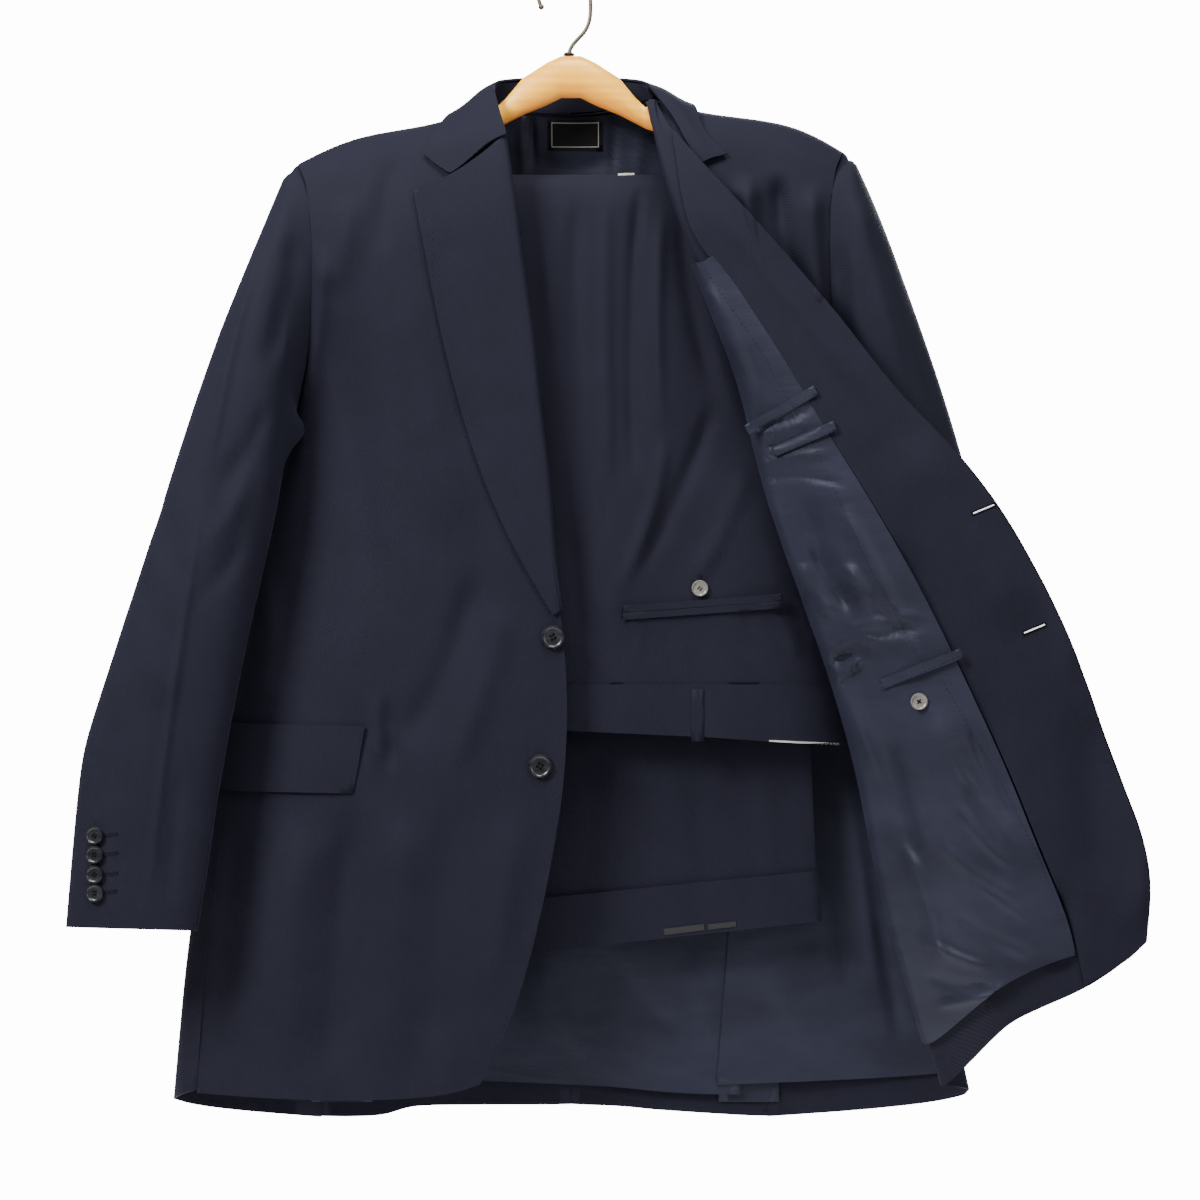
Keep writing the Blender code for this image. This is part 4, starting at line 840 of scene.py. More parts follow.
def button_mesh(radius, thickness, hole_reach, hole, slot, thread_slot, crossed, turned):
    """A turned button with a rim, a dished face, four open holes and its sewing thread."""
    mesh = bmesh.new()
    top = thickness / 2
    lathe(mesh, [(radius * out, top * up) for out, up in BUTTON_PROFILE], 48)
    bmesh.ops.recalc_face_normals(mesh, faces=mesh.faces[:])
    holder = placed("button_body", finished(mesh, "button_body"))
    cutters = bmesh.new()
    angles = [math.radians(45 + 90 * corner) for corner in range(4)]
    corners = [Vector((hole_reach * math.cos(angle), hole_reach * math.sin(angle), 0)) for angle in angles]
    for corner in corners:
        bmesh.ops.create_cone(cutters, cap_ends=True, segments=14, radius1=hole, radius2=hole,
                              depth=thickness * 2.4, matrix=Matrix.Translation(corner))
    tool = placed("button_holes", finished(cutters, "button_holes"))
    cut = holder.modifiers.new("holes", "BOOLEAN")
    cut.operation = "DIFFERENCE"
    cut.solver = "EXACT"
    cut.object = tool
    data = applied(holder)
    bpy.data.meshes.remove(tool.data)
    mesh = bmesh.new()
    mesh.from_mesh(data)
    first_thread = len(mesh.faces)
    pairs = ((0, 2), (1, 3)) if crossed else ((0, 1), (3, 2))
    for first, last in pairs:
        for aside in (-0.45, 0.0, 0.45):
            start, end = corners[first], corners[last]
            across = Vector((-(end - start).y, (end - start).x, 0)).normalized() * aside * hole
            path = []
            for share in (0.0, 0.06, 0.2, 0.5, 0.8, 0.94, 1.0):
                rise = top * 0.22 + hole * (0.5 - 2.6 * max(0.0, 0.12 - min(share, 1 - share)) / 0.12)
                path.append(start.lerp(end, share) + across + Vector((0, 0, rise)))
            tube(mesh, path, hole * 0.34, 6)
    mesh.to_mesh(data)
    mesh.free()
    data.materials.clear()
    data.materials.append(look(slot))
    data.materials.append(look(thread_slot))
    for face in data.polygons:
        face.material_index = 1 if face.index >= first_thread else 0
    data.transform(Matrix.Rotation(turned, 4, "Z"))
    return data


def sew_button(node, slot, thread_slot, crossed, share_reach, share_hole, creases, turned, share=1.0):
    """Puts a turned button where its solid is, and moves it with the cloth that it is sewn to."""
    centre, axis, radius, thickness = disc_place(node)
    spot = np.array([centre[:]])
    lift = crease_heights(pixels(spot), creases)[0] * settings("suit_cloth").drape * share
    centre.y -= lift * MM
    centre.y -= unevenness(np.array([centre[:]]))[0] * UNEVEN_SHARE * MM
    data = button_mesh(radius, max(thickness, 0.0022), radius * share_reach, radius * share_hole, slot,
                       thread_slot, crossed, turned)
    across = Vector((0, 0, 1)).cross(axis).normalized()
    up = axis.cross(across)
    place = Matrix((across, up, axis)).transposed().to_4x4()
    place.translation = centre
    data.transform(place)
    data.name = node + "_turned"
    shown(node + "_turned", data, slot, node)


# Stitches and other lines that lie on the cloth

EYE = seen(600, 600, 0) - Vector((0, SIGHT, 0)) * MM


def cloth_tree(*nodes):
    """One search tree over finished cloth."""
    return search_tree(bpy.data.objects[node + "_cloth"].data for node in nodes)


def on_cloth(tree, spots, step, lift):
    """The points of the cloth that show at pixels of the photograph, with more set between them."""
    spots = [Vector(spot) for spot in spots]
    full = [spots[0]]
    for start, end in zip(spots, spots[1:]):
        pieces = max(1, round((end - start).length / step))
        full += [start.lerp(end, (index + 1) / pieces) for index in range(pieces)]
    found = []
    for spot in full:
        ray = (seen(spot[0], spot[1]) - EYE).normalized()
        hit, normal, _, _ = tree.ray_cast(EYE, ray)
        if hit is not None:
            if normal.dot(ray) > 0:
                normal = -normal
            found.append(hit + normal * lift)
    return found


def stitch_tree():
    """A row of stitches along a line: one short thread at every step, each a little unlike the next."""
    tree = bpy.data.node_groups.new("stitch_row", "GeometryNodeTree")
    names = {}
    tree.interface.new_socket("Line", in_out="INPUT", socket_type="NodeSocketGeometry")
    for title, kind in (("Length", "NodeSocketFloat"), ("Spacing", "NodeSocketFloat"),
                        ("Thread", "NodeSocketFloat"), ("Finish", "NodeSocketMaterial")):
        names[title] = tree.interface.new_socket(title, in_out="INPUT", socket_type=kind).identifier
    tree.interface.new_socket("Stitches", in_out="OUTPUT", socket_type="NodeSocketGeometry")

    def node(kind, settings_first, inputs):
        made = tree.nodes.new(kind)
        for key, value in settings_first.items():
            setattr(made, key, value)
        for key, value in inputs.items():
            if isinstance(value, bpy.types.NodeSocket):
                tree.links.new(value, made.inputs[key])
            else:
                made.inputs[key].default_value = value
        return made

    given = tree.nodes.new("NodeGroupInput")
    row = node("GeometryNodeResampleCurve", {"mode": "LENGTH"},
               {"Curve": given.outputs["Line"], "Length": given.outputs["Spacing"]})
    bead = node("GeometryNodeMeshUVSphere", {}, {"Segments": 6, "Rings": 5, "Radius": 0.5})
    size = node("ShaderNodeCombineXYZ", {}, {"X": given.outputs["Thread"], "Y": given.outputs["Thread"],
                                             "Z": given.outputs["Length"]})
    stitch = node("GeometryNodeTransform", {}, {"Geometry": bead.outputs["Mesh"], "Scale": size.outputs[0]})
    tangent = node("GeometryNodeInputTangent", {}, {})
    turn = node("FunctionNodeAlignRotationToVector", {"axis": "Z"}, {"Vector": tangent.outputs[0]})
    vary = node("FunctionNodeRandomValue", {"data_type": "FLOAT"}, {"Seed": 7})
    vary.inputs[2].default_value = 0.86
    vary.inputs[3].default_value = 1.12
    laid = node("GeometryNodeInstanceOnPoints", {}, {"Points": row.outputs["Curve"],
                "Instance": stitch.outputs["Geometry"], "Rotation": turn.outputs["Rotation"],
                "Scale": vary.outputs[1]})
    real = node("GeometryNodeRealizeInstances", {}, {"Geometry": laid.outputs["Instances"]})
    finish = node("GeometryNodeSetMaterial", {}, {"Geometry": real.outputs["Geometry"],
                                                  "Material": given.outputs["Finish"]})
    out = tree.nodes.new("NodeGroupOutput")
    tree.links.new(finish.outputs["Geometry"], out.inputs["Stitches"])
    return tree, names


def sew(name, tree, rows, between, lift, slot, length, spacing):
    """Sews rows of stitches, given as pixels, onto cloth."""
    if "stitch_row" not in STITCHES:
        STITCHES["stitch_row"] = stitch_tree()
    group, names = STITCHES["stitch_row"]
    curve = bpy.data.curves.new(name, "CURVE")
    curve.dimensions = "3D"
    for line in [on_cloth(tree, row, between, lift) for row in rows]:
        if len(line) < 2:
            continue
        spline = curve.splines.new("POLY")
        spline.points.add(len(line) - 1)
        for point, place in zip(spline.points, line):
            point.co = (*place, 1)
    holder = placed(name + "_line", curve)
    stitches = holder.modifiers.new("stitches", "NODES")
    stitches.node_group = group
    for title, value in (("Length", length), ("Spacing", spacing), ("Thread", settings("suit_stitch").thread),
                         ("Finish", look("dark_thread"))):
        stitches[names[title]] = value
    data = applied(holder)
    if not len(data.polygons):
        raise RuntimeError(name + ": the row has no stitches")
    data.name = name
    shown(name, data, slot)


# Rows of stitches, holes and tapes, in pixels of the photograph
EDGE_ROWS = (
    ((433, 232), (432, 270), (437, 330), (452, 400), (475, 465), (508, 540), (549, 612)),
    ((427, 162), (446, 178)),
    ((416, 189), (428, 236)),
    ((566, 650), (569, 720), (562, 800), (544, 900), (520, 985), (492, 1060)),
    ((241, 727), (362, 732)),
    ((228, 786), (350, 789)),
    ((350, 788), (361, 734)),
)
LINING_ROWS = (
    ((700, 262), (760, 350), (818, 452), (866, 560), (915, 650)),
    ((942, 680), (1000, 780), (1040, 860), (1062, 920)),
    ((748, 434), (814, 394)),
    ((776, 456), (834, 430)),
    ((882, 690), (958, 657)),
)
LABEL_ROWS = (
    ((550, 119), (600, 119), (600, 146), (550, 146), (550, 119)),
)
TACK_ROWS = (
    ((622, 607), (622, 616)),
    ((782, 596), (782, 606)),
    ((692, 690), (703, 690)),
    ((692, 740), (703, 740)),
)
FRONT_HOLES = (
    ((972, 514), (995, 504.5)),
    ((1023, 633.5), (1046, 624)),
)
CUFF_HOLES = (
    ((103, 836), (118, 834)),
    ((103, 855), (118, 853)),
    ((103, 875), (118, 873)),
    ((102, 893), (117, 891)),
)
SEAT_HOLE = ((700, 574), (700, 597))
POCKETING = ((618, 175.5), (655, 174))
FRAYED_EDGE = ((781, 737.5), (839, 742))
FRAYED_THREADS = 46
HEEL_TAPES = (
    (((664, 932), (704, 927)), 0.0052),
    (((708, 927), (736, 924)), 0.0044),
)
STITCHES = {}


def threads(name, paths, radius, slot, material, steps):
    """Round threads along several paths, as one piece."""
    mesh = bmesh.new()
    for path in paths:
        if len(path) > 1:
            tube(mesh, path, radius, steps)
    shown(name, finished(mesh, name, material), slot)


def strip(name, tree, spots, width, lift, slot, material, wobble):
    """A narrow tape laid flat on the trousers along a line of the photograph's pixels."""
    line = on_cloth(tree, spots, 4.0, lift)
    mesh = bmesh.new()
    rows = []
    for index, point in enumerate(line):
        ahead = (line[min(index + 1, len(line) - 1)] - line[max(index - 1, 0)]).normalized()
        side = ahead.cross(Vector((0, 1, 0))).normalized()
        half = width / 2 * (1 + wobble * math.sin(2.7 * index) * math.cos(1.3 * index))
        back = Vector((0, 0.0006, 0))
        rows.append([mesh.verts.new(point + side * half), mesh.verts.new(point - Vector((0, 0.0002, 0))),
                     mesh.verts.new(point - side * half), mesh.verts.new(point - side * half + back),
                     mesh.verts.new(point + side * half + back)])
    for lower, upper in zip(rows, rows[1:]):
        for step in range(5):
            mesh.faces.new((lower[step], lower[(step + 1) % 5], upper[(step + 1) % 5], upper[step]))
    mesh.faces.new(rows[0][::-1])
    mesh.faces.new(rows[-1])
    bmesh.ops.recalc_face_normals(mesh, faces=mesh.faces[:])
    piece = shown(name, finished(mesh, name, material), slot)


# Each panel's solid, flat size, creases, smoothing, and what else is its own
LEFT_BODY = ("forepart_left", "side_left", "back_left")
RIGHT_BODY = ("forepart_right", "side_right", "back_right")
BACK_PRESS = ((BACK_CREASES, behind),)
BACK = {"toward": 1.0, "reach_out": 0.9, "share": 0.55}
SIDE = {"reach_out": 0.9}
LEFT_FRONT = (
    ("back_left", (0.24, 0.86), BACK_PRESS, 2, BACK),
    ("side_left", (0.14, 0.62), (), 2, SIDE),
    ("forepart_left", (0.33, 0.83), ((FRONT_CREASES, in_front),), 3, {}),
    ("flap_left", (0.137, 0.062), ((FRONT_CREASES, everywhere),), 2, {}),
)
RIGHT_FRONT = (
    ("back_right", (0.24, 0.86), BACK_PRESS, 2, BACK),
    ("side_right", (0.14, 0.62), (), 2, SIDE),
    ("forepart_right", (0.33, 0.83), ((CHEST_CREASES, hanging_part), (FACING_CREASES, turned_part),
                                      (LINING_CREASES, turned_part)), 3, {}),
    ("facing_right", (0.12, 0.70), ((FACING_CREASES, everywhere),), 3, SIDE),
)
SLEEVE_PRESS = ((SLEEVE_CREASES, everywhere),)
LEFT_SLEEVE = {"neighbours": LEFT_BODY, "share": 0.62}
RIGHT_SLEEVE = {"neighbours": RIGHT_BODY, "share": 0.62}
SLEEVES = (
    ("under_sleeve_left", (0.15, 0.62), SLEEVE_PRESS, 2, LEFT_SLEEVE),
    ("top_sleeve_left", (0.17, 0.66), SLEEVE_PRESS, 3, LEFT_SLEEVE),
    ("under_sleeve_right", (0.15, 0.62), SLEEVE_PRESS, 2, RIGHT_SLEEVE),
    ("top_sleeve_right", (0.17, 0.66), SLEEVE_PRESS, 3, RIGHT_SLEEVE),
)
COLLAR = (
    ("lapel_left", (0.12, 0.42), ((FRONT_CREASES, everywhere),), 3, {}),
    ("lapel_right", (0.10, 0.26), ((CHEST_CREASES, everywhere),), 3, {}),
    ("collar_leaf", (0.09, 0.25), (), 3, {}),
    ("collar_stand", (0.03, 0.16), (), 3, {}),
)
INSIDE_PRESS = ((INSIDE_CREASES, everywhere), (BACK_CREASES, backward))
LINING_PRESS = ((LINING_CREASES, everywhere),)
LININGS = (
    ("lining_back", (0.46, 0.84), INSIDE_PRESS, 3, {"share": 0.55}),
    ("lining_side_right", (0.16, 0.38), INSIDE_PRESS, 3, {"share": 0.55}),
    ("lining_front_right", (0.17, 0.68), LINING_PRESS, 4, {"reach_out": 1.5}),
    ("vent_underlay_left", (0.06, 0.27), (), 2, {}),
    ("vent_underlay_right", (0.06, 0.27), (), 2, {}),
)
JETS = ("pocket_jet_chest", "pocket_jet_pen", "pocket_jet_lower")
FALL_PRESS = ((FALL_CREASES, everywhere),)
SEAT_PRESS = ((TROUSER_CREASES, everywhere),)
TROUSER_SHARE = 0.58
TROUSERS = (
    ("trouser_leg_far", (0.42, 0.80), ((FALL_CREASES, behind),), 3, {"rests_on": ("hanger_bar",)}),
    ("trouser_leg_near", (0.42, 0.80), ((TROUSER_CREASES, in_front), (TROUSER_SEAMS, in_front),
                                        (FALL_CREASES, behind)), 3, {"rests_on": ("hanger_bar",)}),
    ("turn_up_far", (0.26, 0.09), FALL_PRESS, 2, {"rests_on": ("trouser_leg_far",)}),
    ("turn_up_near", (0.26, 0.09), FALL_PRESS, 2, {"rests_on": ("trouser_leg_near",)}),
    ("waistband", (0.42, 0.09), SEAT_PRESS, 2, {"rests_on": ("trouser_leg_near",), "lift": 0.8,
                                                "reach_out": 1.3}),
    ("waistband_lining", (0.42, 0.055), (), 2, {"rests_on": ("waistband",)}),
)
SEAT_STRIPS = ("belt_loop", "back_pocket_upper", "back_pocket_lower")


def dress_panels(rows, slot="wool", **same):
    for node, flat, creases, level, own in rows:
        used = "pale_lining" if node == "waistband_lining" else slot
        dress(node, used, flat, creases, level, **same, **own)


def dress_strips(nodes, slot, creases, rests_on, **same):
    """Dresses small strips of cloth, with a flat size from each solid's long side and surface."""
    for node in nodes:
        low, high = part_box(node)
        length = (high - low).length
        area = sum(face.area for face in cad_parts[node].data.polygons) / 2
        flat = (max(0.01, area / length * 1.04), length)
        dress(node, slot, flat, creases, held="laid", rests_on=(rests_on,), **same)


class SUIT_OT_left_front(bpy.types.Operator):
    """Dresses the left front, side, back and pocket flap"""
    bl_idname = "suit.left_front"
    bl_label = "Left front and back"

    def execute(self, context):
        dress_panels(LEFT_FRONT)
        return {"FINISHED"}


class SUIT_OT_right_front(bpy.types.Operator):
    """Dresses the right front, which hangs open and turned back, with its side and back"""
    bl_idname = "suit.right_front"
    bl_label = "Right front and back"

    def execute(self, context):
        dress_panels(RIGHT_FRONT)
        return {"FINISHED"}


class SUIT_OT_sleeves(bpy.types.Operator):
    """Dresses the four halves of the sleeves and draws their heads up to the armholes"""
    bl_idname = "suit.sleeves"
    bl_label = "Sleeves"

    def execute(self, context):
        dress_panels(SLEEVES)
        return {"FINISHED"}


class SUIT_OT_collar(bpy.types.Operator):
    """Dresses the lapels, the collar's leaf and its stand"""
    bl_idname = "suit.collar"
    bl_label = "Collar and lapels"

    def execute(self, context):
        dress_panels(COLLAR)
        return {"FINISHED"}


class SUIT_OT_lining(bpy.types.Operator):
    """Dresses the linings, the inside pockets' jets, the vent's underlays and the plain label"""
    bl_idname = "suit.lining"
    bl_label = "Linings and inside pockets"

    def execute(self, context):
        dress_panels(LININGS, "lining")
        dress_strips(JETS, "lining", LINING_PRESS, "lining_front_right")
        dress("label", "label", (0.046, 0.027), held="laid", rests_on=("lining_back",))
        return {"FINISHED"}


class SUIT_OT_trousers(bpy.types.Operator):
    """Dresses the folded trousers with their waistband, turn-ups and back pocket"""
    bl_idname = "suit.trousers"
    bl_label = "Trousers"

    def execute(self, context):
        dress_panels(TROUSERS, held="folded", share=TROUSER_SHARE)
        dress_strips(SEAT_STRIPS, "wool", SEAT_PRESS, "trouser_leg_near", share=TROUSER_SHARE)
        return {"FINISHED"}


class SUIT_OT_buttons(bpy.types.Operator):
    """Sews on the horn buttons of the front and cuffs and the pearl buttons of the pockets"""
    bl_idname = "suit.buttons"
    bl_label = "Buttons"

    def execute(self, context):
        for index in (1, 2):
            sew_button(f"front_button_{index}", "dark_button", "dark_thread", False, 0.22, 0.105,
                       FRONT_CREASES, 0.5 * index)
        for side in ("left", "right"):
            for index in (1, 2, 3, 4):
                sew_button(f"cuff_button_{side}_{index}", "dark_button", "dark_thread", False, 0.22, 0.11,
                           SLEEVE_CREASES, 0.3 + 0.7 * index, 0.62)
        sew_button("inner_button", "pearl_button", "dark_thread", True, 0.24, 0.10, LINING_CREASES, 0.2)
        sew_button("seat_button", "pearl_button", "brown_thread", False, 0.22, 0.10, TROUSER_CREASES, 0.9,
                   TROUSER_SHARE)
        return {"FINISHED"}


# The hook in millimetres: its foot, its neck, and the arc from the neck round to the tip
HOOK_FOOT = (-1.7, -71.1)
HOOK_NECK = ((-1.7, -69.0), (0.8, -62.0), (12.5, -52.5), (16.6, -40.0), (16.1, -25.6))
HOOK_CENTRE = (-5.4, -20.75)
HOOK_RADIUS = 22.0
HOOK_ARC = (-12.7, 209)
HOOK_STEPS = 26


class SUIT_OT_hanger(bpy.types.Operator):
    """Finishes the beech hanger and bends its wire hook"""
    bl_idname = "suit.hanger"
    bl_label = "Hanger and hook"

    def execute(self, context):
        for node in ("hanger_wood", "hanger_bar"):
            mesh, _ = panel_mesh(node)
            bmesh.ops.bevel(mesh, geom=[edge for edge in mesh.edges if edge.calc_face_angle(0) > 0.9],
                            offset=0.0006, segments=2, affect="EDGES", profile=0.6)
            shown(node + "_varnished", finished(mesh, node + "_varnished"), "beech", node)
        shift = Vector((HOOK_SHIFT[0], 0, HOOK_SHIFT[1]))
        line = [Vector((x, 0, z)) for x, z in (HOOK_FOOT, *HOOK_NECK)]
        for step in range(HOOK_STEPS + 1):
            angle = math.radians(HOOK_ARC[0] + (HOOK_ARC[1] - HOOK_ARC[0]) * step / HOOK_STEPS)
            line.append(Vector((HOOK_CENTRE[0] + HOOK_RADIUS * math.cos(angle), 0,
                                HOOK_CENTRE[1] + HOOK_RADIUS * math.sin(angle))))
        curve = bpy.data.curves.new("hook_line", "CURVE")
        curve.dimensions = "3D"
        curve.bevel_depth = settings("suit_hard").wire / 2
        curve.bevel_resolution = 5
        curve.resolution_u = 5
        curve.use_fill_caps = True
        spline = curve.splines.new("NURBS")
        spline.points.add(len(line) - 1)
        spline.use_endpoint_u = True
        spline.order_u = 4
        for point, place in zip(spline.points, line):
            point.co = (*((place + shift) * MM), 1)
        data = applied(placed("hook_line", curve))
        mesh = bmesh.new()
        mesh.from_mesh(data)
        tip = (line[-1] + shift) * MM
        bmesh.ops.create_uvsphere(mesh, u_segments=20, v_segments=12, matrix=Matrix.Translation(tip),
                                  radius=settings("suit_hard").wire * 0.72)
        foot = (line[0] + shift) * MM
        bmesh.ops.create_cone(mesh, cap_ends=True, segments=28, radius1=0.0052, radius2=0.0034, depth=0.0016,
                              matrix=Matrix.Translation(foot + Vector((0, 0, 0.0006))))
        mesh.to_mesh(data)
        mesh.free()
        data.materials.clear()
        data.materials.append(look("steel"))
        data.name = "hook_wire"
        shown("hook_wire", data, "steel", "hanger_hook")
        return {"FINISHED"}


FLOOR_RADII = (1.45, 1.0, 0.5)
FLOOR_STEPS = 64
# Each lamp's place, what it is aimed at, its width in metres and its power in watts
LAMPS = (
    ("key_light", (-1.5, -1.5, 0.9), (-0.05, 0, -0.45), 0.8, 135),
    ("fill_light", (1.8, -1.9, 0.2), (0, 0, -0.5), 1.4, 34),
    ("top_light", (0.1, -0.8, 1.4), (0, 0, -0.3), 0.9, 62),
    ("back_light", (0.6, 2.2, 0.5), (0, 0, -0.5), 1.6, 150),
)
# The white world as it lights the suit, and as it shows behind it
WORLD_LIGHT = 0.32
WORLD_WHITE = 14.0
CAMERA_SENSOR = 36
CAMERA_VIEW = 0.996


class SUIT_OT_stage(bpy.types.Operator):
    """Sets the pale floor, the white background, the soft lights and the photograph's camera"""
    bl_idname = "suit.stage"
    bl_label = "Stage, lights and camera"

    def execute(self, context):
        chosen = settings("suit_stage")
        mesh = bmesh.new()
        turns = [math.tau * step / FLOOR_STEPS for step in range(FLOOR_STEPS)]
        rows = [[mesh.verts.new((radius * math.cos(turn), radius * math.sin(turn), chosen.floor_drop))
                 for turn in turns] for radius in FLOOR_RADII]
        for lower, upper in zip(rows, rows[1:]):
            for step in range(FLOOR_STEPS):
                after = (step + 1) % FLOOR_STEPS
                mesh.faces.new((lower[step], lower[after], upper[after], upper[step]))
        mesh.faces.new(rows[-1])
        data = finished(mesh, "floor")
        data.shade_smooth()
        paper = Recipe("pale_paper", (0.93, 0.93, 0.93), 0.9)
        grain = paper.noise(paper.place(), 60, 3.0)
        paper.set("Base Color", paper.blend(grain, (0.925, 0.925, 0.925), (0.94, 0.94, 0.94)))
        data.materials.append(paper.material)
        placed("floor", data)
        for name, place, aim, size, power in LAMPS:
            lamp = bpy.data.lights.new(name, "AREA")
            lamp.size = size
            lamp.energy = power * chosen.light
            holder = placed(name, lamp)
            holder.location = place
            holder.rotation_euler = (Vector(aim) - Vector(place)).to_track_quat("-Z", "Y").to_euler()
        world = bpy.data.worlds.new("studio")
        world.use_nodes = True
        nodes, links = world.node_tree.nodes, world.node_tree.links
        lit = nodes["Background"]
        behind_suit = nodes.new("ShaderNodeBackground")
        for node, strength in ((lit, WORLD_LIGHT * chosen.light), (behind_suit, WORLD_WHITE)):
            node.inputs[0].default_value = (1, 1, 1, 1)
            node.inputs[1].default_value = strength
        ray = nodes.new("ShaderNodeLightPath")
        both = nodes.new("ShaderNodeMixShader")
        links.new(ray.outputs["Is Camera Ray"], both.inputs[0])
        links.new(lit.outputs[0], both.inputs[1])
        links.new(behind_suit.outputs[0], both.inputs[2])
        links.new(both.outputs[0], nodes["World Output"].inputs[0])
        context.scene.world = world
        camera = bpy.data.cameras.new("photo_camera")
        camera.sensor_width = CAMERA_SENSOR
        camera.lens = CAMERA_SENSOR * SIGHT * MM / CAMERA_VIEW
        holder = placed("photo_camera", camera)
        holder.location = EYE
        holder.rotation_euler = (math.radians(90), 0, 0)
        context.scene.camera = holder
        return {"FINISHED"}


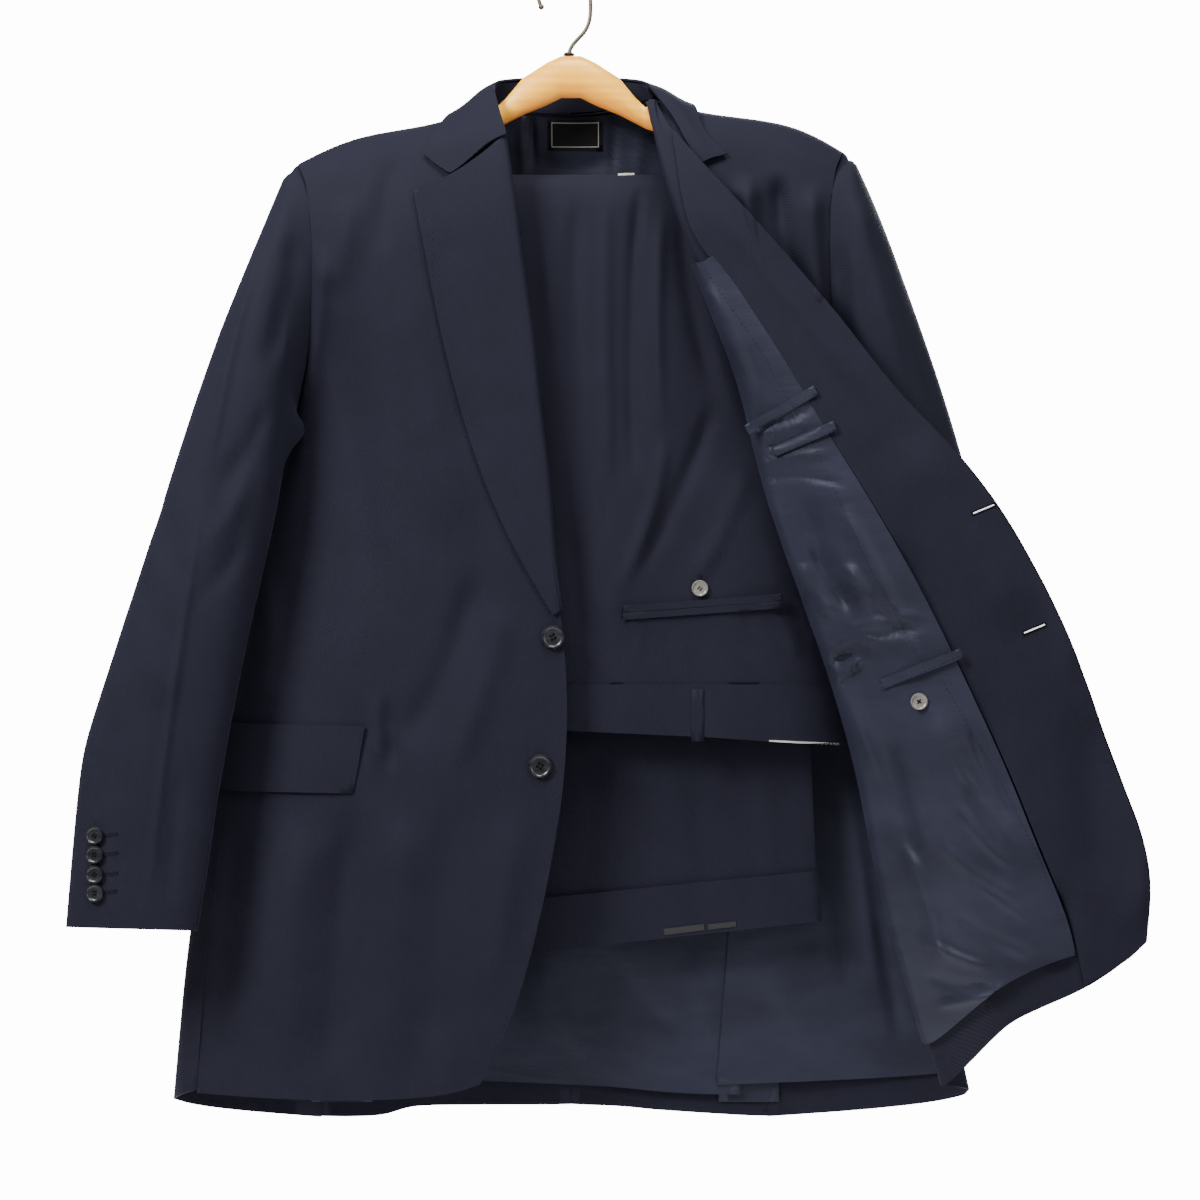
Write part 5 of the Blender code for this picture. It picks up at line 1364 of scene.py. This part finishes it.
class SUIT_OT_sewing(bpy.types.Operator):
    """Adds the stitches, buttonholes, tapes and loose threads"""
    bl_idname = "suit.sewing"
    bl_label = "Stitches, buttonholes and tapes"

    def execute(self, context):
        front = cloth_tree("forepart_left", "lapel_left", "flap_left", "collar_leaf")
        turned = cloth_tree("facing_right", "forepart_right", "lapel_right")
        inside = cloth_tree("lining_front_right", "lining_back", "lining_side_right", "facing_right", *JETS,
                            "label")
        legs = cloth_tree("trouser_leg_near", "waistband", "turn_up_near", "trouser_leg_far", "turn_up_far",
                          "back_pocket_upper", "back_pocket_lower")
        cuffs = cloth_tree("top_sleeve_left")
        sew("edge_stitches", front, EDGE_ROWS, 6.0, 0.00015, "wool", 0.0012, 0.0060)
        sew("lining_stitches", inside, LINING_ROWS, 5.0, 0.00020, "lining", 0.0016, 0.0040)
        sew("label_stitches", inside, LABEL_ROWS, 3.0, 0.00025, "label", 0.0020, 0.0034)
        sew("pocket_tacks", legs, TACK_ROWS, 1.0, 0.00030, "wool", 0.0028, 0.0008)
        strip("trouser_pocketing", legs, POCKETING, 0.0026, 0.0004, "pale_lining", "tape_pale", 0.2)
        for index, (start, end) in enumerate(FRONT_HOLES):
            self.buttonhole(f"front_hole_{index + 1}", turned, start, end, 0.00050, True)
        for index, (start, end) in enumerate(CUFF_HOLES):
            self.buttonhole(f"cuff_hole_{index + 1}", cuffs, start, end, 0.00036, False)
        self.buttonhole("seat_hole", legs, *SEAT_HOLE, 0.00036, False)
        for index, (row, width) in enumerate(HEEL_TAPES):
            strip(f"heel_tape_{index + 1}", legs, row, width, 0.0006, "wool", "tape", 0.05)
        self.fringe()
        return {"FINISHED"}

    def fringe(self):
        """The loose threads of the waistband lining's raw edge."""
        fringe = []
        frayed = cloth_tree("waistband_lining")
        start, end = (Vector(spot) for spot in FRAYED_EDGE)
        for index in range(FRAYED_THREADS):
            sway = math.sin(index * 12.9) * 0.001
            drop = 0.0016 + 0.0014 * abs(math.sin(index * 7.3))
            for root in on_cloth(frayed, [start.lerp(end, index / (FRAYED_THREADS - 1))], 1.0, 0.0003):
                fringe.append([root, root + Vector((sway * 0.4, -0.0003, -drop * 0.6)),
                               root + Vector((sway, -0.0002, -drop))])
        if fringe:
            threads("frayed_edge", fringe, 0.00016, "pale_lining", "pale_lining", 5)

    def buttonhole(self, name, tree, start, end, thread, light):
        """A worked buttonhole: two lips of close thread, a bar at one end, and the slit between, drawn as a
        pale thread of painted light.
        """
        line = on_cloth(tree, (start, end), 1.2, 0.0002)
        if len(line) < 3:
            raise RuntimeError(name + " is off the cloth")
        first, last = line[0], line[-1]
        side = (last - first).normalized().cross(Vector((0, 1, 0))).normalized()

        def off(point, sideways, outward):
            return point + side * sideways - Vector((0, outward, 0))

        paths = [[off(point, lip * 0.00095, 0.0002) for point in line] for lip in (-1, 1)]
        if light:
            count = max(8, int((last - first).length / (thread * 1.5)))
            for index in range(count + 1):
                point = first.lerp(last, index / count)
                near = min(line, key=lambda spot: (spot - point).length)
                point = Vector((point.x, near.y, point.z))
                paths += [[off(point, lip * 0.00040, 0), off(point, lip * 0.0009, 0.0004),
                           off(point, lip * 0.0019, 0)] for lip in (-1, 1)]
            paths.append([off(first, -0.0022, 0), off(first, 0, 0.0006), off(first, 0.0022, 0)])
        else:
            paths.append([off(last, -0.0011, 0), off(last, 0, 0.0003), off(last, 0.0011, 0)])
        threads(name, paths, thread / 2, "wool", "dark_thread", 5)
        if light:
            # Painted light: a pale thread along the slit stands for the light that shows through it
            slit = [off(point, 0, 0.00015) for point in line[1:-1]]
            threads(name + "_slit", [slit], 0.00062, "wool", "painted_slit_light", 6)


class SUIT_PT_panel(bpy.types.Panel):
    """Lists the suit's pieces in the sidebar"""
    bl_idname = "SUIT_PT_panel"
    bl_label = "Suit on a hanger"
    bl_space_type = "VIEW_3D"
    bl_region_type = "UI"
    bl_category = "Suit"

    def draw(self, context):
        for group in SETTINGS:
            for title in SETTINGS[group].__annotations__:
                self.layout.prop(getattr(context.scene, group), title)
        for step in OPERATORS:
            self.layout.operator(step.bl_idname)


SETTINGS = {
    "suit_cloth": CLOTH_PG_settings,
    "suit_stitch": STITCH_PG_settings,
    "suit_hard": HARD_PG_settings,
    "suit_stage": STAGE_PG_settings,
}
OPERATORS = (
    SUIT_OT_left_front, SUIT_OT_right_front, SUIT_OT_sleeves, SUIT_OT_collar, SUIT_OT_lining,
    SUIT_OT_trousers, SUIT_OT_buttons, SUIT_OT_hanger, SUIT_OT_sewing, SUIT_OT_stage,
)


def register():
    for group, kind in SETTINGS.items():
        bpy.utils.register_class(kind)
        setattr(bpy.types.Scene, group, bpy.props.PointerProperty(type=kind))
    for kind in (*OPERATORS, SUIT_PT_panel):
        bpy.utils.register_class(kind)


def unregister():
    for kind in (SUIT_PT_panel, *reversed(OPERATORS)):
        bpy.utils.unregister_class(kind)
    for group, kind in SETTINGS.items():
        delattr(bpy.types.Scene, group)
        bpy.utils.unregister_class(kind)


def main():
    """Makes every piece in turn."""
    register()
    for step in OPERATORS:
        group, name = step.bl_idname.split(".")
        if getattr(getattr(bpy.ops, group), name)() != {"FINISHED"}:
            raise RuntimeError(step.bl_label + " was not finished")


if __name__ == "__main__":
    main()
